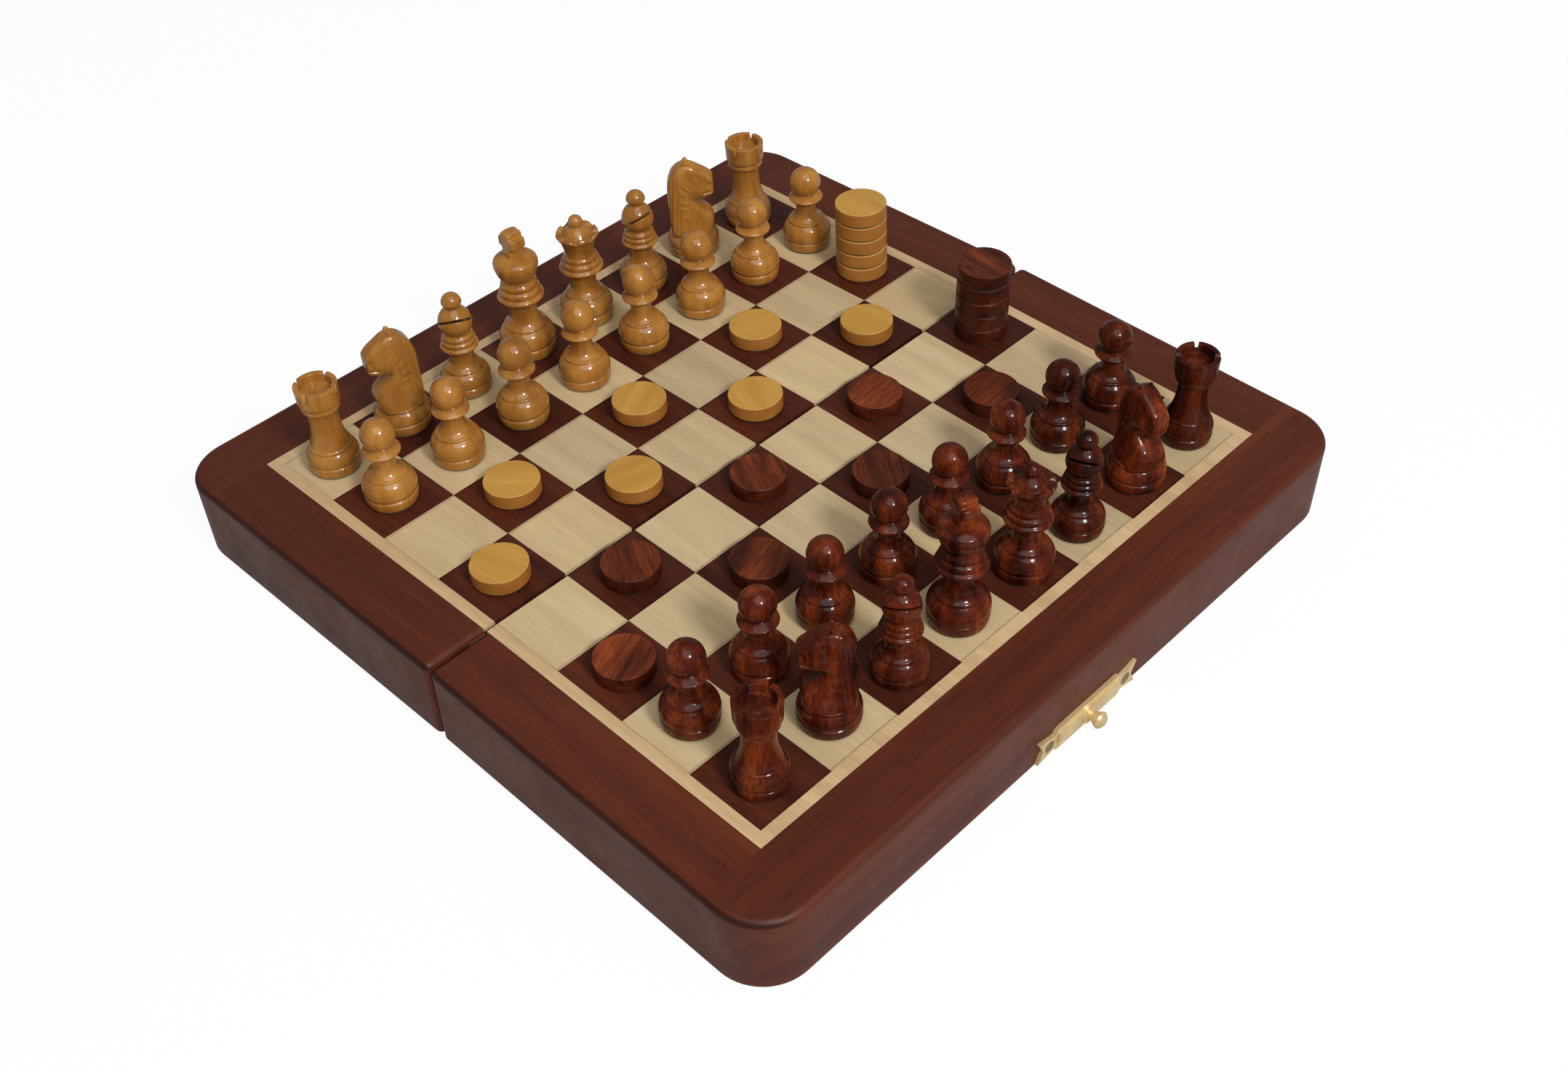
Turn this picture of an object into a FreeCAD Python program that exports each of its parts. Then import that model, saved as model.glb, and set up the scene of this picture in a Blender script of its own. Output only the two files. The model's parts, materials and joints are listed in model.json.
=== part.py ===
import FreeCAD
import Part
import math
import os
import Sketcher

# Folding magnetic chess and checkers board, open on a table with its men set out. Millimetres.
# The origin is on the table under the middle of the seam. X runs along the seam, Y from the
# dark half to the light half, Z up. Each half is drawn lying flat in a frame whose origin is on
# the hinge axis and whose Y points away from the seam, and is then leaned to where it stands:
# the seam rides on the hinge barrels, the far rim on the table.

sizes = {
    # playing field and frame
    "square_size": 18.0,
    "stringing_width": 2.7,
    "rail_width": 14.3,
    "half_height": 19.0,
    "corner_radius": 11.0,
    "seam_corner_radius": 1.6,
    "top_edge_radius": 1.5,
    "rim_edge_radius": 0.6,
    # layers of the playing surface and the tray
    "veneer_thickness": 0.8,
    "steel_thickness": 0.4,
    "panel_thickness": 3.0,
    "groove_depth": 4.0,
    "groove_clearance": 0.1,
    "lining_thickness": 1.0,
    "lining_clearance": 0.1,
    "spine_width": 10.0,
    # gaps at the fold, each half's share
    "seam_clearance": 0.1,
    "rim_clearance": 0.1,
    # butt hinges
    "hinge_spacing": 100.0,
    "hinge_length": 18.0,
    "leaf_reach": 7.5,
    "leaf_screw_reach": 4.6,
    "leaf_screw_spacing": 11.0,
    "barrel_radius": 1.6,
    "barrel_relief": 0.3,
    "knuckle_gap": 0.15,
    "hinge_pin_radius": 0.7,
    "pin_clearance": 0.05,
    "mortise_clearance": 0.1,
    # sheet brass and its screws
    "brass_thickness": 0.8,
    "screw_head_radius": 1.4,
    "screw_shank_radius": 0.7,
    "screw_length": 5.0,
    "screw_clearance": 0.02,
    # clasp
    "clasp_rise": 3.6,
    "clasp_length": 30.6,
    "clasp_tail_height": 5.8,
    "clasp_tail_notch": 1.4,
    "clasp_waist_height": 3.8,
    "clasp_strip_margin": 2.5,
    "clasp_strip_height": 6.0,
    "clasp_strip_thickness": 0.4,
    "clasp_screw_inset": 3.3,
    "stud_projection": 5.0,
    "stud_collar_radius": 2.2,
    "stud_collar_top": 1.5,
    "stud_neck_radius": 1.1,
    "stud_head_radius": 1.9,
    "stud_head_height": 2.3,
    "stud_head_foot_radius": 1.35,
    "hook_thickness": 0.8,
    "hook_side_clearance": 0.1,
    "hook_catch_clearance": 0.3,
    "hook_eye_radius": 2.4,
    "hook_end_radius": 2.9,
    "hook_lip_height": 1.5,
    "hook_lip_rake": 0.4,
    "hook_mouth_flare": 0.9,
    # what is under every man
    "magnet_radius": 3.0,
    "magnet_thickness": 1.5,
    "magnet_clearance": 0.02,
    "felt_thickness": 0.4,
    "felt_inset": 0.25,
    "seat_clearance": 0.05,
}

files = 8
ranks_per_half = 4
stack_count = 5
queen_notch_count = 8

# The men are drawn for this square and grow with the board's.
men_drawn_square = 18.0

# Half outlines of the turned men, from the foot up. Each station is its name, its radius (None
# keeps the radius below), its rise above the station before, and the bulge of the stretch that
# leads to it: outward arcs are positive, hollows negative, straight runs zero. A dome closes the
# outline on the axis, so it is part of a ball.
dome = "dome"
turnings = {
    "pawn": [
        ("foot", 5.45, 0, 0),
        ("foot_top", 5.7, 2.1, 0.1),
        ("groove", 5.35, 0.25, 0),
        ("body_low", 5.75, 0.35, 0),
        ("body_top", 4.3, 3.8, 0.6),
        ("bead_top", 4.0, 0.55, 0.2),
        ("neck", 2.4, 2.35, -0.4),
        ("collar_under", 2.7, 2.6, -0.1),
        ("collar_low", 3.9, 0.45, 0),
        ("collar_top", 3.85, 0.6, 0.2),
        ("head_foot", 2.4, 0.85, 0),
        ("head_top", 0, 6.45, dome),
    ],
    "rook": [
        ("foot", 5.4, 0, 0),
        ("foot_top", 5.65, 2.1, 0.1),
        ("groove", 5.3, 0.25, 0),
        ("body_low", 5.65, 0.35, 0),
        ("body_top", 4.6, 2.8, 0.35),
        ("bead_top", 4.35, 0.6, 0.2),
        ("neck", 3.25, 6, -0.3),
        ("head_under", 3.45, 2.9, -0.1),
        ("ring_low", 3.95, 0.4, 0),
        ("ring_top", None, 0.9, 0.15),
        ("head_groove", 3.75, 0.3, 0),
        ("head_low", 4.5, 0.6, 0),
        ("head_top", 4.65, 4.2, 0),
        ("cup_rim", 3.5, 0, 0),
        ("cup_floor", 3.4, -2, 0),
        ("cup_middle", 0, 0, 0),
    ],
    "bishop": [
        ("foot", 5.4, 0, 0),
        ("foot_top", 5.65, 2.1, 0.1),
        ("groove", 5.3, 0.25, 0),
        ("body_low", 5.65, 0.35, 0),
        ("body_top", 4.2, 2.9, 0.45),
        ("bead_top", 3.9, 0.6, 0.2),
        ("neck", 2.75, 2.1, -0.3),
        ("collar_under", 3.0, 2.4, -0.1),
        ("collar_low", 4.1, 0.6, 0),
        ("collar_top", 4.05, 0.7, 0.2),
        ("ring_under", 3.6, 0.25, 0),
        ("ring_low", 3.8, 0.6, 0.1),
        ("ring_top", 3.6, 0.5, 0.12),
        ("step_under", 3.3, 0.25, 0),
        ("step_low", 3.5, 0.5, 0.1),
        ("step_top", 3.2, 0.5, 0.12),
        ("waist", 2.8, 0.8, -0.1),
        ("head_widest", 3.75, 2.5, 0.35),
        ("head_neck", 1.55, 3.4, 0.5),
        ("knob_low", 2.25, 1.2, -0.15),
        ("knob_top", 0, 2.4, dome),
    ],
    "queen": [
        ("foot", 5.9, 0, 0),
        ("foot_top", 6.15, 2.2, 0.1),
        ("groove", 5.8, 0.25, 0),
        ("body_low", 6.15, 0.35, 0),
        ("body_top", 4.5, 3.6, 0.6),
        ("bead_top", 4.2, 0.6, 0.2),
        ("neck", 2.95, 2.1, -0.35),
        ("collar_under", 3.4, 3.5, -0.15),
        ("collar_low", 4.95, 0.7, 0),
        ("collar_top", 4.85, 0.8, 0.2),
        ("ring_under", 4.35, 0.3, 0),
        ("ring_low", 4.5, 0.7, 0.1),
        ("ring_top", 4.2, 0.5, 0.12),
        ("step_under", 3.75, 0.25, 0),
        ("step_low", 3.9, 0.6, 0.1),
        ("step_top", 3.6, 0.5, 0.12),
        ("waist", 3.45, 0.95, -0.1),
        ("crown_low", 3.8, 1.8, -0.12),
        ("crown_rim", 4.95, 2.5, -0.25),
        ("crown_lip", 4.6, 0.7, 0),
        ("dome_foot", 3.3, -0.6, 0),
        ("dome_top", 1.25, 1.95, 0.3),
        ("ball_top", 0, 2.75, dome),
    ],
    "king": [
        ("foot", 6.0, 0, 0),
        ("foot_top", 6.3, 2.3, 0.1),
        ("groove", 5.95, 0.25, 0),
        ("body_low", 6.3, 0.35, 0),
        ("body_top", 4.8, 3.9, 0.6),
        ("bead_top", 4.5, 0.7, 0.2),
        ("neck", 3.1, 2.9, -0.4),
        ("collar_under", 3.5, 3.2, -0.15),
        ("collar_low", 5.15, 0.7, 0),
        ("collar_top", 5.05, 0.85, 0.2),
        ("ring_under", 4.5, 0.3, 0),
        ("ring_low", 4.65, 0.8, 0.12),
        ("ring_top", 4.35, 0.6, 0.12),
        ("step_under", 3.95, 0.25, 0),
        ("step_low", 4.15, 0.8, 0.1),
        ("step_top", 3.85, 0.6, 0.12),
        ("waist", 3.45, 1, -0.1),
        ("crown_low", 4.75, 2.3, 0.3),
        ("crown_rim", 5.0, 1.1, 0.1),
        ("crown_top", 4.8, 1.2, 0.12),
        ("dome_top", 2.2, 1.1, 0.22),
        ("dome_middle", 0, 0, 0),
    ],
    "knight": [
        ("foot", 5.9, 0, 0),
        ("foot_top", 6.2, 2.2, 0.1),
        ("groove", 5.85, 0.25, 0),
        ("body_low", 6.2, 0.35, 0),
        ("body_top", 5.1, 2.7, 0.35),
        ("bead_top", 4.85, 0.6, 0.2),
        ("seat_middle", 0, 0, 0),
    ],
    "checker": [
        ("foot", 5.93, 0, 0),
        ("edge_low", 6.05, 0.12, 0),
        ("edge_high", None, 3.11, 0),
        ("face", 5.93, 0.12, 0),
        ("middle", 0, 0, 0),
    ],
}

# Side outline of the carved horse's head, nose towards +X, round from the chest: each corner is
# its name, its reach forward, its height above the turned base, and the bulge of the next stretch.
horse_head = [
    ("chest_foot", 4.9, 0, 0.1),
    ("chest", 5.5, 2.6, 0.2),
    ("throat_low", 3.2, 5.7, -0.3),
    ("throat", 1.5, 7.6, 0),
    ("jaw", 2.5, 8.4, 0),
    ("chin", 5.1, 9.0, 0.1),
    ("lip", 5.7, 9.8, 0.1),
    ("nose", 5.8, 13.9, 0.1),
    ("brow", 4.3, 15.4, 0),
    ("forehead", 0.6, 17.4, 0),
    ("ear_front", -0.2, 17.4, 0.1),
    ("ear_tip", -0.7, 18.3, 0.1),
    ("ear_back", -1.7, 17.2, 0.8),
    ("nape", -5.05, 13.2, 0.1),
    ("mane_foot", -4.9, 0, 0),
]

# Cuts and carving of the chessmen. The slit's rise is from the mitre's widest ring to its inner end.
carving = {
    "rook_slot_width": 0.9,
    "rook_slot_depth": 1.6,
    "bishop_slit_width": 0.5,
    "bishop_slit_reach": 3.45,
    "bishop_slit_rise": 0.45,
    "bishop_slit_climb": 0.6,
    "queen_notch_radius": 0.95,
    "queen_notch_depth": 1.6,
    "king_cross_width": 5.4,
    "king_cross_height": 6.1,
    "king_cross_thickness": 3.8,
    "king_cross_arm": 2.3,
    "king_cross_tip": 1.4,
    "king_cross_waist": 3.0,
    "king_cross_root": 0.8,
    "knight_foot_half": 4.3,
    "knight_cheek_half": 2.9,
    "knight_brow_half": 2.4,
    "knight_ear_half": 1.7,
    "knight_ear_gap": 0.6,
    "knight_ear_split": 1.1,
    "knight_foot_flare": 7.0,
}

# Where the men stand. The back rank of both sides runs along +X and was set down
# off the middle of its squares by the nudges, given file by file. Turns are in degrees about Z, the
# first man of a kind first. Squares are the file along +X and the rank along +Y, each from 0.
back_rank = ["rook", "knight", "bishop", "king", "queen", "bishop", "knight", "rook"]
back_nudges = {
    "light": [
        (-1.6, 0.1), (-0.7, 0.7), (-1.6, 0.1), (-1.0, 0.7),
        (-1.6, 0.1), (-1.6, 0.1), (-1.8, 1.4), (-1.9, 0.5),
    ],
    "dark": [
        (-1.1, -1.1), (-0.1, -0.1), (-0.8, -1.9), (-0.5, -0.7),
        (0.8, -1.3), (-0.8, -1.9), (1.2, -1.7), (1.4, -1.4),
    ],
}
turns = {
    "light": {"rook": (27.6, 20.0), "knight": (165.0, -45.0), "bishop": (240.0, 280.0), "king": (85.0,)},
    "dark": {"rook": (15.0, 40.0), "knight": (140.0, 250.0), "bishop": (226.0, 205.0), "king": (70.0,)},
}
light_checker_squares = [(1, 5), (3, 5), (5, 5), (0, 4), (2, 4), (4, 4), (6, 4)]
dark_checker_squares = [(0, 2), (2, 2), (4, 2), (6, 2), (1, 3), (3, 3), (5, 3)]
stack_squares = {"light": (7, 5), "dark": (7, 3)}


class Size:
    """A number together with the spreadsheet expression that gives it."""

    def __init__(self, value, text):
        self.value = float(value)
        self.text = text

    def __add__(self, other):
        other = as_size(other)
        return Size(self.value + other.value, f"({self.text} + {other.text})")

    def __sub__(self, other):
        other = as_size(other)
        return Size(self.value - other.value, f"({self.text} - {other.text})")

    def __mul__(self, other):
        other = as_size(other)
        return Size(self.value * other.value, f"({self.text} * {other.text})")

    def __truediv__(self, other):
        other = as_size(other)
        return Size(self.value / other.value, f"({self.text} / {other.text})")

    def __neg__(self):
        return Size(-self.value, f"(-{self.text})")


def as_size(number):
    return number if isinstance(number, Size) else Size(number, repr(number))


doc = FreeCAD.newDocument("chess_board")
sheet = doc.addObject("Spreadsheet::Sheet", "dims")
named = {}


def add_size(name, number):
    row = len(named) + 1
    sheet.set(f"A{row}", name)
    sheet.set(f"B{row}", str(number))
    sheet.setAlias(f"B{row}", name)
    named[name] = Size(number, f"dims.{name}")


for size_name, size_number in sizes.items():
    add_size(size_name, size_number)
for kind_name, stations in turnings.items():
    for station, radius, rise, bulge in stations:
        for part_name, number in (("radius", radius), ("rise", rise), ("bulge", bulge)):
            if number and number != dome:
                add_size(f"{kind_name}_{station}_{part_name}", number)
for corner, reach, height, bulge in horse_head:
    for part_name, number in (("reach", reach), ("height", height), ("bulge", bulge)):
        if number:
            add_size(f"knight_{corner}_{part_name}", number)
for size_name, size_number in carving.items():
    add_size(size_name, size_number)
for half_name, nudges in back_nudges.items():
    for nudge_file, (nudge_x, nudge_y) in enumerate(nudges):
        add_size(f"{half_name}_nudge_x_{nudge_file}", nudge_x)
        add_size(f"{half_name}_nudge_y_{nudge_file}", nudge_y)
add_size("men_drawn_square", men_drawn_square)
doc.recompute()


def d(name):
    return named[name]


def m(name):
    """A size from the men's tables, grown with the board's square."""
    return d(name) * (d("square_size") / d("men_drawn_square"))


zero = as_size(0)
field_half = d("square_size") * (files / 2)
field_depth = d("square_size") * ranks_per_half
inlay_half = field_half + d("stringing_width")
inlay_depth = field_depth + d("stringing_width")
board_half = inlay_half + d("rail_width")
half_depth = inlay_depth + d("rail_width")
rim_z = d("rim_clearance")
top_z = rim_z + d("half_height")
steel_top = top_z - d("veneer_thickness")
panel_top = steel_top - d("steel_thickness")
panel_bottom = panel_top - d("panel_thickness")
seam_y = d("seam_clearance")
clasp_z = rim_z + d("clasp_rise")
clasp_screw_x = d("clasp_length") / 2 - d("clasp_screw_inset")

# The lean of a half: its rim clears the hinge axis by the rim clearance, the axis stands a barrel
# radius above the table, and the far rim comes down to the table where its rounding begins.
rim_reach = (half_depth - d("rim_edge_radius")).value
lean = math.asin(d("barrel_radius").value / math.hypot(rim_reach, rim_z.value))
lean = lean + math.atan2(rim_z.value, rim_reach)


def placed(x=0, y=0, z=0, turn=None):
    return FreeCAD.Placement(FreeCAD.Vector(x, y, z), turn or FreeCAD.Rotation())


about_x = FreeCAD.Vector(1, 0, 0)
about_z = FreeCAD.Vector(0, 0, 1)
light_stand = placed(z=d("barrel_radius").value, turn=FreeCAD.Rotation(about_x, -math.degrees(lean)))
half_stand = {
    "light": light_stand,
    "dark": placed(turn=FreeCAD.Rotation(about_z, 180)).multiply(light_stand),
}
# On the outer wall of a half, a clasp part is drawn face up and its Z turned to point outward.
clasp_stand = placed(y=half_depth.value, z=clasp_z.value, turn=FreeCAD.Rotation(about_x, -90))

nodes = []
least_change = 1e-3


def finish(obj, label, stand):
    obj.Label = label
    obj.Placement = stand
    nodes.append(obj)
    return obj


def new_body(name):
    return doc.addObject("PartDesign::Body", name)


def origin_feature(body, role):
    return next(f for f in body.Origin.OriginFeatures if f.Role == role)


def new_sketch(body, name, role, offset=zero):
    sketch = body.newObject("Sketcher::SketchObject", name)
    sketch.AttachmentSupport = [(origin_feature(body, role), "")]
    sketch.MapMode = "FlatFace"
    if offset.value:
        sketch.setExpression("AttachmentOffset.Base.z", offset.text)
    return sketch


def hold(sketch, kind, geometry, size):
    """Ties one coordinate of a point to its size, measured from the sketch's origin."""
    on_axis = {"DistanceX": -2, "DistanceY": -1}[kind]
    if abs(size.value) < 1e-9:
        sketch.addConstraint(Sketcher.Constraint("PointOnObject", *geometry, on_axis))
        return
    ends = (-1, 1, *geometry) if size.value > 0 else (*geometry, -1, 1)
    size = size if size.value > 0 else -size
    index = sketch.addConstraint(Sketcher.Constraint(kind, *ends, size.value))
    sketch.setExpression(f"Constraints[{index}]", size.text)


def bends_out(bulge):
    return bulge is dome or bulge.value > 0


def arc_radius(corner, after):
    """Radius of the arc from a corner to the next: a dome has its centre level with the axis."""
    run = after[0] - corner[0]
    climb = after[1] - corner[1]
    chord_squared = run * run + climb * climb
    bulge = corner[2]
    if bulge is dome:
        return chord_squared / (climb * 2)
    depth = bulge if bulge.value > 0 else -bulge
    return chord_squared / (depth * 8) + depth / 2


def arc_between(start, end, radius, outward):
    """Counterclockwise arc of under half a turn, bent to the right of the way from start to end."""
    along = end - start
    right = FreeCAD.Vector(along.y, -along.x, 0).normalize()
    inset = math.sqrt(max(0, radius * radius - along.Length ** 2 / 4))
    centre = (start + end) * 0.5 + right * (-inset if outward else inset)
    first, last = (start, end) if outward else (end, start)
    first_angle = math.atan2(first.y - centre.y, first.x - centre.x)
    last_angle = math.atan2(last.y - centre.y, last.x - centre.x)
    if last_angle < first_angle:
        last_angle = last_angle + 2 * math.pi
    circle = Part.Circle(centre, FreeCAD.Vector(0, 0, 1), radius)
    return Part.ArcOfCircle(circle, first_angle, last_angle)


def draw_outline(sketch, corners):
    """Closed outline through corners (x, y, bulge of the next stretch), every size bound."""
    first = sketch.GeometryCount
    count = len(corners)
    points = [FreeCAD.Vector(x.value, y.value, 0) for x, y, bulge in corners]
    start_ends = []
    for i, (x, y, bulge) in enumerate(corners):
        after = points[(i + 1) % count]
        if bulge:
            radius = arc_radius(corners[i], corners[(i + 1) % count])
            sketch.addGeometry(arc_between(points[i], after, radius.value, bends_out(bulge)), False)
            start_ends.append((1, 2) if bends_out(bulge) else (2, 1))
        else:
            sketch.addGeometry(Part.LineSegment(points[i], after), False)
            start_ends.append((1, 2))
    for i in range(count):
        j = (i + 1) % count
        ends = (first + i, start_ends[i][1], first + j, start_ends[j][0])
        sketch.addConstraint(Sketcher.Constraint("Coincident", *ends))
    for i, (x, y, bulge) in enumerate(corners):
        hold(sketch, "DistanceX", (first + i, start_ends[i][0]), x)
        hold(sketch, "DistanceY", (first + i, start_ends[i][0]), y)
    for i, (x, y, bulge) in enumerate(corners):
        if bulge:
            radius = arc_radius(corners[i], corners[(i + 1) % count])
            index = sketch.addConstraint(Sketcher.Constraint("Radius", first + i, radius.value))
            sketch.setExpression(f"Constraints[{index}]", radius.text)


def draw_box(sketch, x0, x1, y0, y1):
    draw_outline(sketch, [(x0, y0, None), (x1, y0, None), (x1, y1, None), (x0, y1, None)])


def draw_circle(sketch, x, y, radius):
    index = sketch.GeometryCount
    centre = FreeCAD.Vector(x.value, y.value, 0)
    sketch.addGeometry(Part.Circle(centre, FreeCAD.Vector(0, 0, 1), radius.value), False)
    hold(sketch, "DistanceX", (index, 3), x)
    hold(sketch, "DistanceY", (index, 3), y)
    place = sketch.addConstraint(Sketcher.Constraint("Radius", index, radius.value))
    sketch.setExpression(f"Constraints[{place}]", radius.text)


def extrude(body, kind, sketch, length, side="One side", reverse=False):
    """Pad or Pocket of a bound length; one that adds or takes away nothing stops the build."""
    before = body.Shape.Volume if body.Tip else 0
    feature = body.newObject(f"PartDesign::{kind}", f"{sketch.Name}_{kind.lower()}")
    feature.Profile = sketch
    feature.SideType = side
    feature.Reversed = reverse
    feature.setExpression("Length", length.text)
    doc.recompute()
    change = body.Shape.Volume - before
    gain = change if kind == "Pad" else -change
    if gain < least_change:
        raise RuntimeError(f"{sketch.Name} changed the volume by {change:.3f}")
    return feature


def revolve(body, kind, sketch):
    feature = body.newObject(f"PartDesign::{kind}", f"{sketch.Name}_{kind.lower()}")
    feature.Profile = sketch
    feature.ReferenceAxis = (sketch, ["V_Axis"])
    feature.Angle = 360
    doc.recompute()
    return feature


def round_edges(body, name, radius, wanted, kind="Fillet"):
    """Fillets or chamfers the edges whose middle point passes the test."""
    tip = body.Tip
    picked = []
    for i, edge in enumerate(tip.Shape.Edges):
        middle = edge.valueAt((edge.FirstParameter + edge.LastParameter) / 2)
        if wanted(middle, edge):
            picked.append(f"Edge{i + 1}")
    feature = body.newObject(f"PartDesign::{kind}", name)
    feature.Base = (tip, picked)
    feature.setExpression("Radius" if kind == "Fillet" else "Size", radius.text)
    doc.recompute()
    return feature


def bound_box(name, x0, x1, y0, y1, z0, z1):
    box = doc.addObject("Part::Box", name)
    for side, size in (("Length", x1 - x0), ("Width", y1 - y0), ("Height", z1 - z0)):
        box.setExpression(side, size.text)
    for axis, size in (("x", x0), ("y", y0), ("z", z0)):
        box.setExpression(f"Placement.Base.{axis}", size.text)
    return box


def bound_cylinder(name, radius, height, z0):
    cylinder = doc.addObject("Part::Cylinder", name)
    cylinder.setExpression("Radius", radius.text)
    cylinder.setExpression("Height", height.text)
    cylinder.setExpression("Placement.Base.z", z0.text)
    return cylinder


def compound(name, members):
    group = doc.addObject("Part::Compound", name)
    group.Links = members
    return group


def near(a, size):
    return abs(a - size.value) < 1e-4


# Frame rails


screw_hole = d("screw_shank_radius") + d("screw_clearance")
pilot_depth = d("screw_length") - d("brass_thickness") + d("screw_clearance")
groove_reach = inlay_half + d("groove_depth")
groove_bound = inlay_depth + d("groove_depth")
hinge_half = d("hinge_length") / 2
hinge_places = [-(d("hinge_spacing") / 2), d("hinge_spacing") / 2]


def long_rail(half):
    """Full-width rail with the two round corners, grooved for the panel, bored for its clasp."""
    body = new_body(f"{half}_long_rail_body")
    outline = new_sketch(body, f"{half}_long_rail_plan", "XY_Plane", rim_z)
    straight = board_half - d("corner_radius")
    far = half_depth - d("corner_radius")
    corner_bulge = d("corner_radius") * (1 - math.sqrt(0.5))
    draw_outline(outline, [
        (-board_half, inlay_depth, None),
        (board_half, inlay_depth, None),
        (board_half, far, corner_bulge),
        (straight, half_depth, None),
        (-straight, half_depth, corner_bulge),
        (-board_half, far, None),
    ])
    extrude(body, "Pad", outline, d("half_height"))
    groove = new_sketch(body, f"{half}_long_rail_groove", "XY_Plane", panel_bottom)
    draw_box(groove, -groove_reach, groove_reach, inlay_depth, groove_bound)
    extrude(body, "Pocket", groove, d("panel_thickness"), reverse=True)
    bores = new_sketch(body, f"{half}_long_rail_bores", "XZ_Plane", -half_depth)
    for side in (-1, 1):
        draw_circle(bores, clasp_screw_x * side, clasp_z, screw_hole)
    extrude(body, "Pocket", bores, pilot_depth, reverse=True)

    def outer(p, edge):
        return p.y > inlay_depth.value + 0.01 and edge.BoundBox.ZLength < 0.01

    def on_skin(p):
        reach = math.hypot(max(0, abs(p.x) - straight.value), max(0, p.y - far.value))
        return near(p.y, half_depth) or near(abs(p.x), board_half) or near(reach, d("corner_radius"))

    round_edges(body, f"{half}_long_rail_top", d("top_edge_radius"),
                lambda p, e: near(p.z, top_z) and outer(p, e) and on_skin(p))
    round_edges(body, f"{half}_long_rail_rim", d("rim_edge_radius"),
                lambda p, e: near(p.z, rim_z) and outer(p, e) and on_skin(p))
    finish(body, f"{half}_long_rail", half_stand[half])


def side_rail(half, side):
    """Short rail from the long rail to the seam, grooved for the panel."""
    name = f"{half}_{'right' if side > 0 else 'left'}_side_rail"
    body = new_body(f"{name}_body")
    outline = new_sketch(body, f"{name}_plan", "XY_Plane", rim_z)
    low, high = sorted((inlay_half * side, board_half * side), key=lambda s: s.value)
    draw_box(outline, low, high, seam_y, inlay_depth)
    extrude(body, "Pad", outline, d("half_height"))
    groove = new_sketch(body, f"{name}_groove", "XY_Plane", panel_bottom)
    low, high = sorted((inlay_half * side, groove_reach * side), key=lambda s: s.value)
    draw_box(groove, low, high, seam_y, inlay_depth)
    extrude(body, "Pocket", groove, d("panel_thickness"), reverse=True)
    round_edges(body, f"{name}_seam_corner", d("seam_corner_radius"),
                lambda p, e: near(abs(p.x), board_half) and near(p.y, seam_y))
    round_edges(body, f"{name}_top", d("top_edge_radius"),
                lambda p, e: near(abs(p.x), board_half) and near(p.z, top_z))
    round_edges(body, f"{name}_rim", d("rim_edge_radius"),
                lambda p, e: near(abs(p.x), board_half) and near(p.z, rim_z))
    return body


def side_rails(half):
    pair = compound(f"{half}_side_rail_pair", [side_rail(half, -1), side_rail(half, 1)])
    finish(pair, f"{half}_side_rails", half_stand[half])


def spine_rail(half):
    """Rail under the panel along the seam, mortised for the leaves and hollowed for the barrels."""
    body = new_body(f"{half}_spine_rail_body")
    spine_back = seam_y + d("spine_width")
    outline = new_sketch(body, f"{half}_spine_plan", "XY_Plane", rim_z)
    draw_box(outline, -inlay_half, inlay_half, seam_y, spine_back)
    extrude(body, "Pad", outline, panel_bottom - rim_z)
    mortise = new_sketch(body, f"{half}_spine_mortises", "XY_Plane", rim_z)
    mortise_half = hinge_half + d("mortise_clearance")
    for place in hinge_places:
        draw_box(mortise, place - mortise_half, place + mortise_half,
                 seam_y, d("leaf_reach") + d("mortise_clearance"))
    extrude(body, "Pocket", mortise, d("brass_thickness"), reverse=True)
    for i, place in enumerate(hinge_places):
        hollow = new_sketch(body, f"{half}_spine_hollow_{i}", "YZ_Plane", place)
        draw_circle(hollow, zero, zero, d("barrel_radius") + d("barrel_relief"))
        extrude(body, "Pocket", hollow, mortise_half * 2, side="Symmetric")
    pilots = new_sketch(body, f"{half}_spine_pilots", "XY_Plane", rim_z)
    for place in hinge_places:
        for side in (-0.5, 0.5):
            draw_circle(pilots, place + d("leaf_screw_spacing") * side, d("leaf_screw_reach"), screw_hole)
    extrude(body, "Pocket", pilots, d("screw_length") + d("screw_clearance"), reverse=True)
    finish(body, f"{half}_spine_rail", half_stand[half])


# Panel, steel, veneers and lining


def layers(half):
    reach = groove_reach - d("groove_clearance")
    bound = groove_bound - d("groove_clearance")
    panel = bound_box(f"{half}_panel_box", -reach, reach, seam_y, bound, panel_bottom, panel_top)
    finish(compound(f"{half}_panel_group", [panel]), f"{half}_panel", half_stand[half])
    steel = bound_box(f"{half}_steel_box", -inlay_half, inlay_half, seam_y, inlay_depth,
                      panel_top, steel_top)
    finish(compound(f"{half}_steel_group", [steel]), f"{half}_steel_sheet", half_stand[half])


def squares(half):
    """Veneer squares of both woods; the row at the seam stops at the seam's clearance."""
    by_wood = {"dark": [], "pale": []}
    for rank in range(ranks_per_half):
        for file in range(files):
            x0 = d("square_size") * (file - files / 2)
            y0 = d("square_size") * rank if rank else seam_y
            wood = "dark" if (file + rank) % 2 == 0 else "pale"
            square = bound_box(f"{half}_square_{file}_{rank}", x0, x0 + d("square_size"),
                               y0, d("square_size") * (rank + 1), steel_top, top_z)
            by_wood[wood].append(square)
    for wood, boxes in by_wood.items():
        group = compound(f"{half}_{wood}_square_group", boxes)
        finish(group, f"{half}_half_{wood}_squares", half_stand[half])


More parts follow.
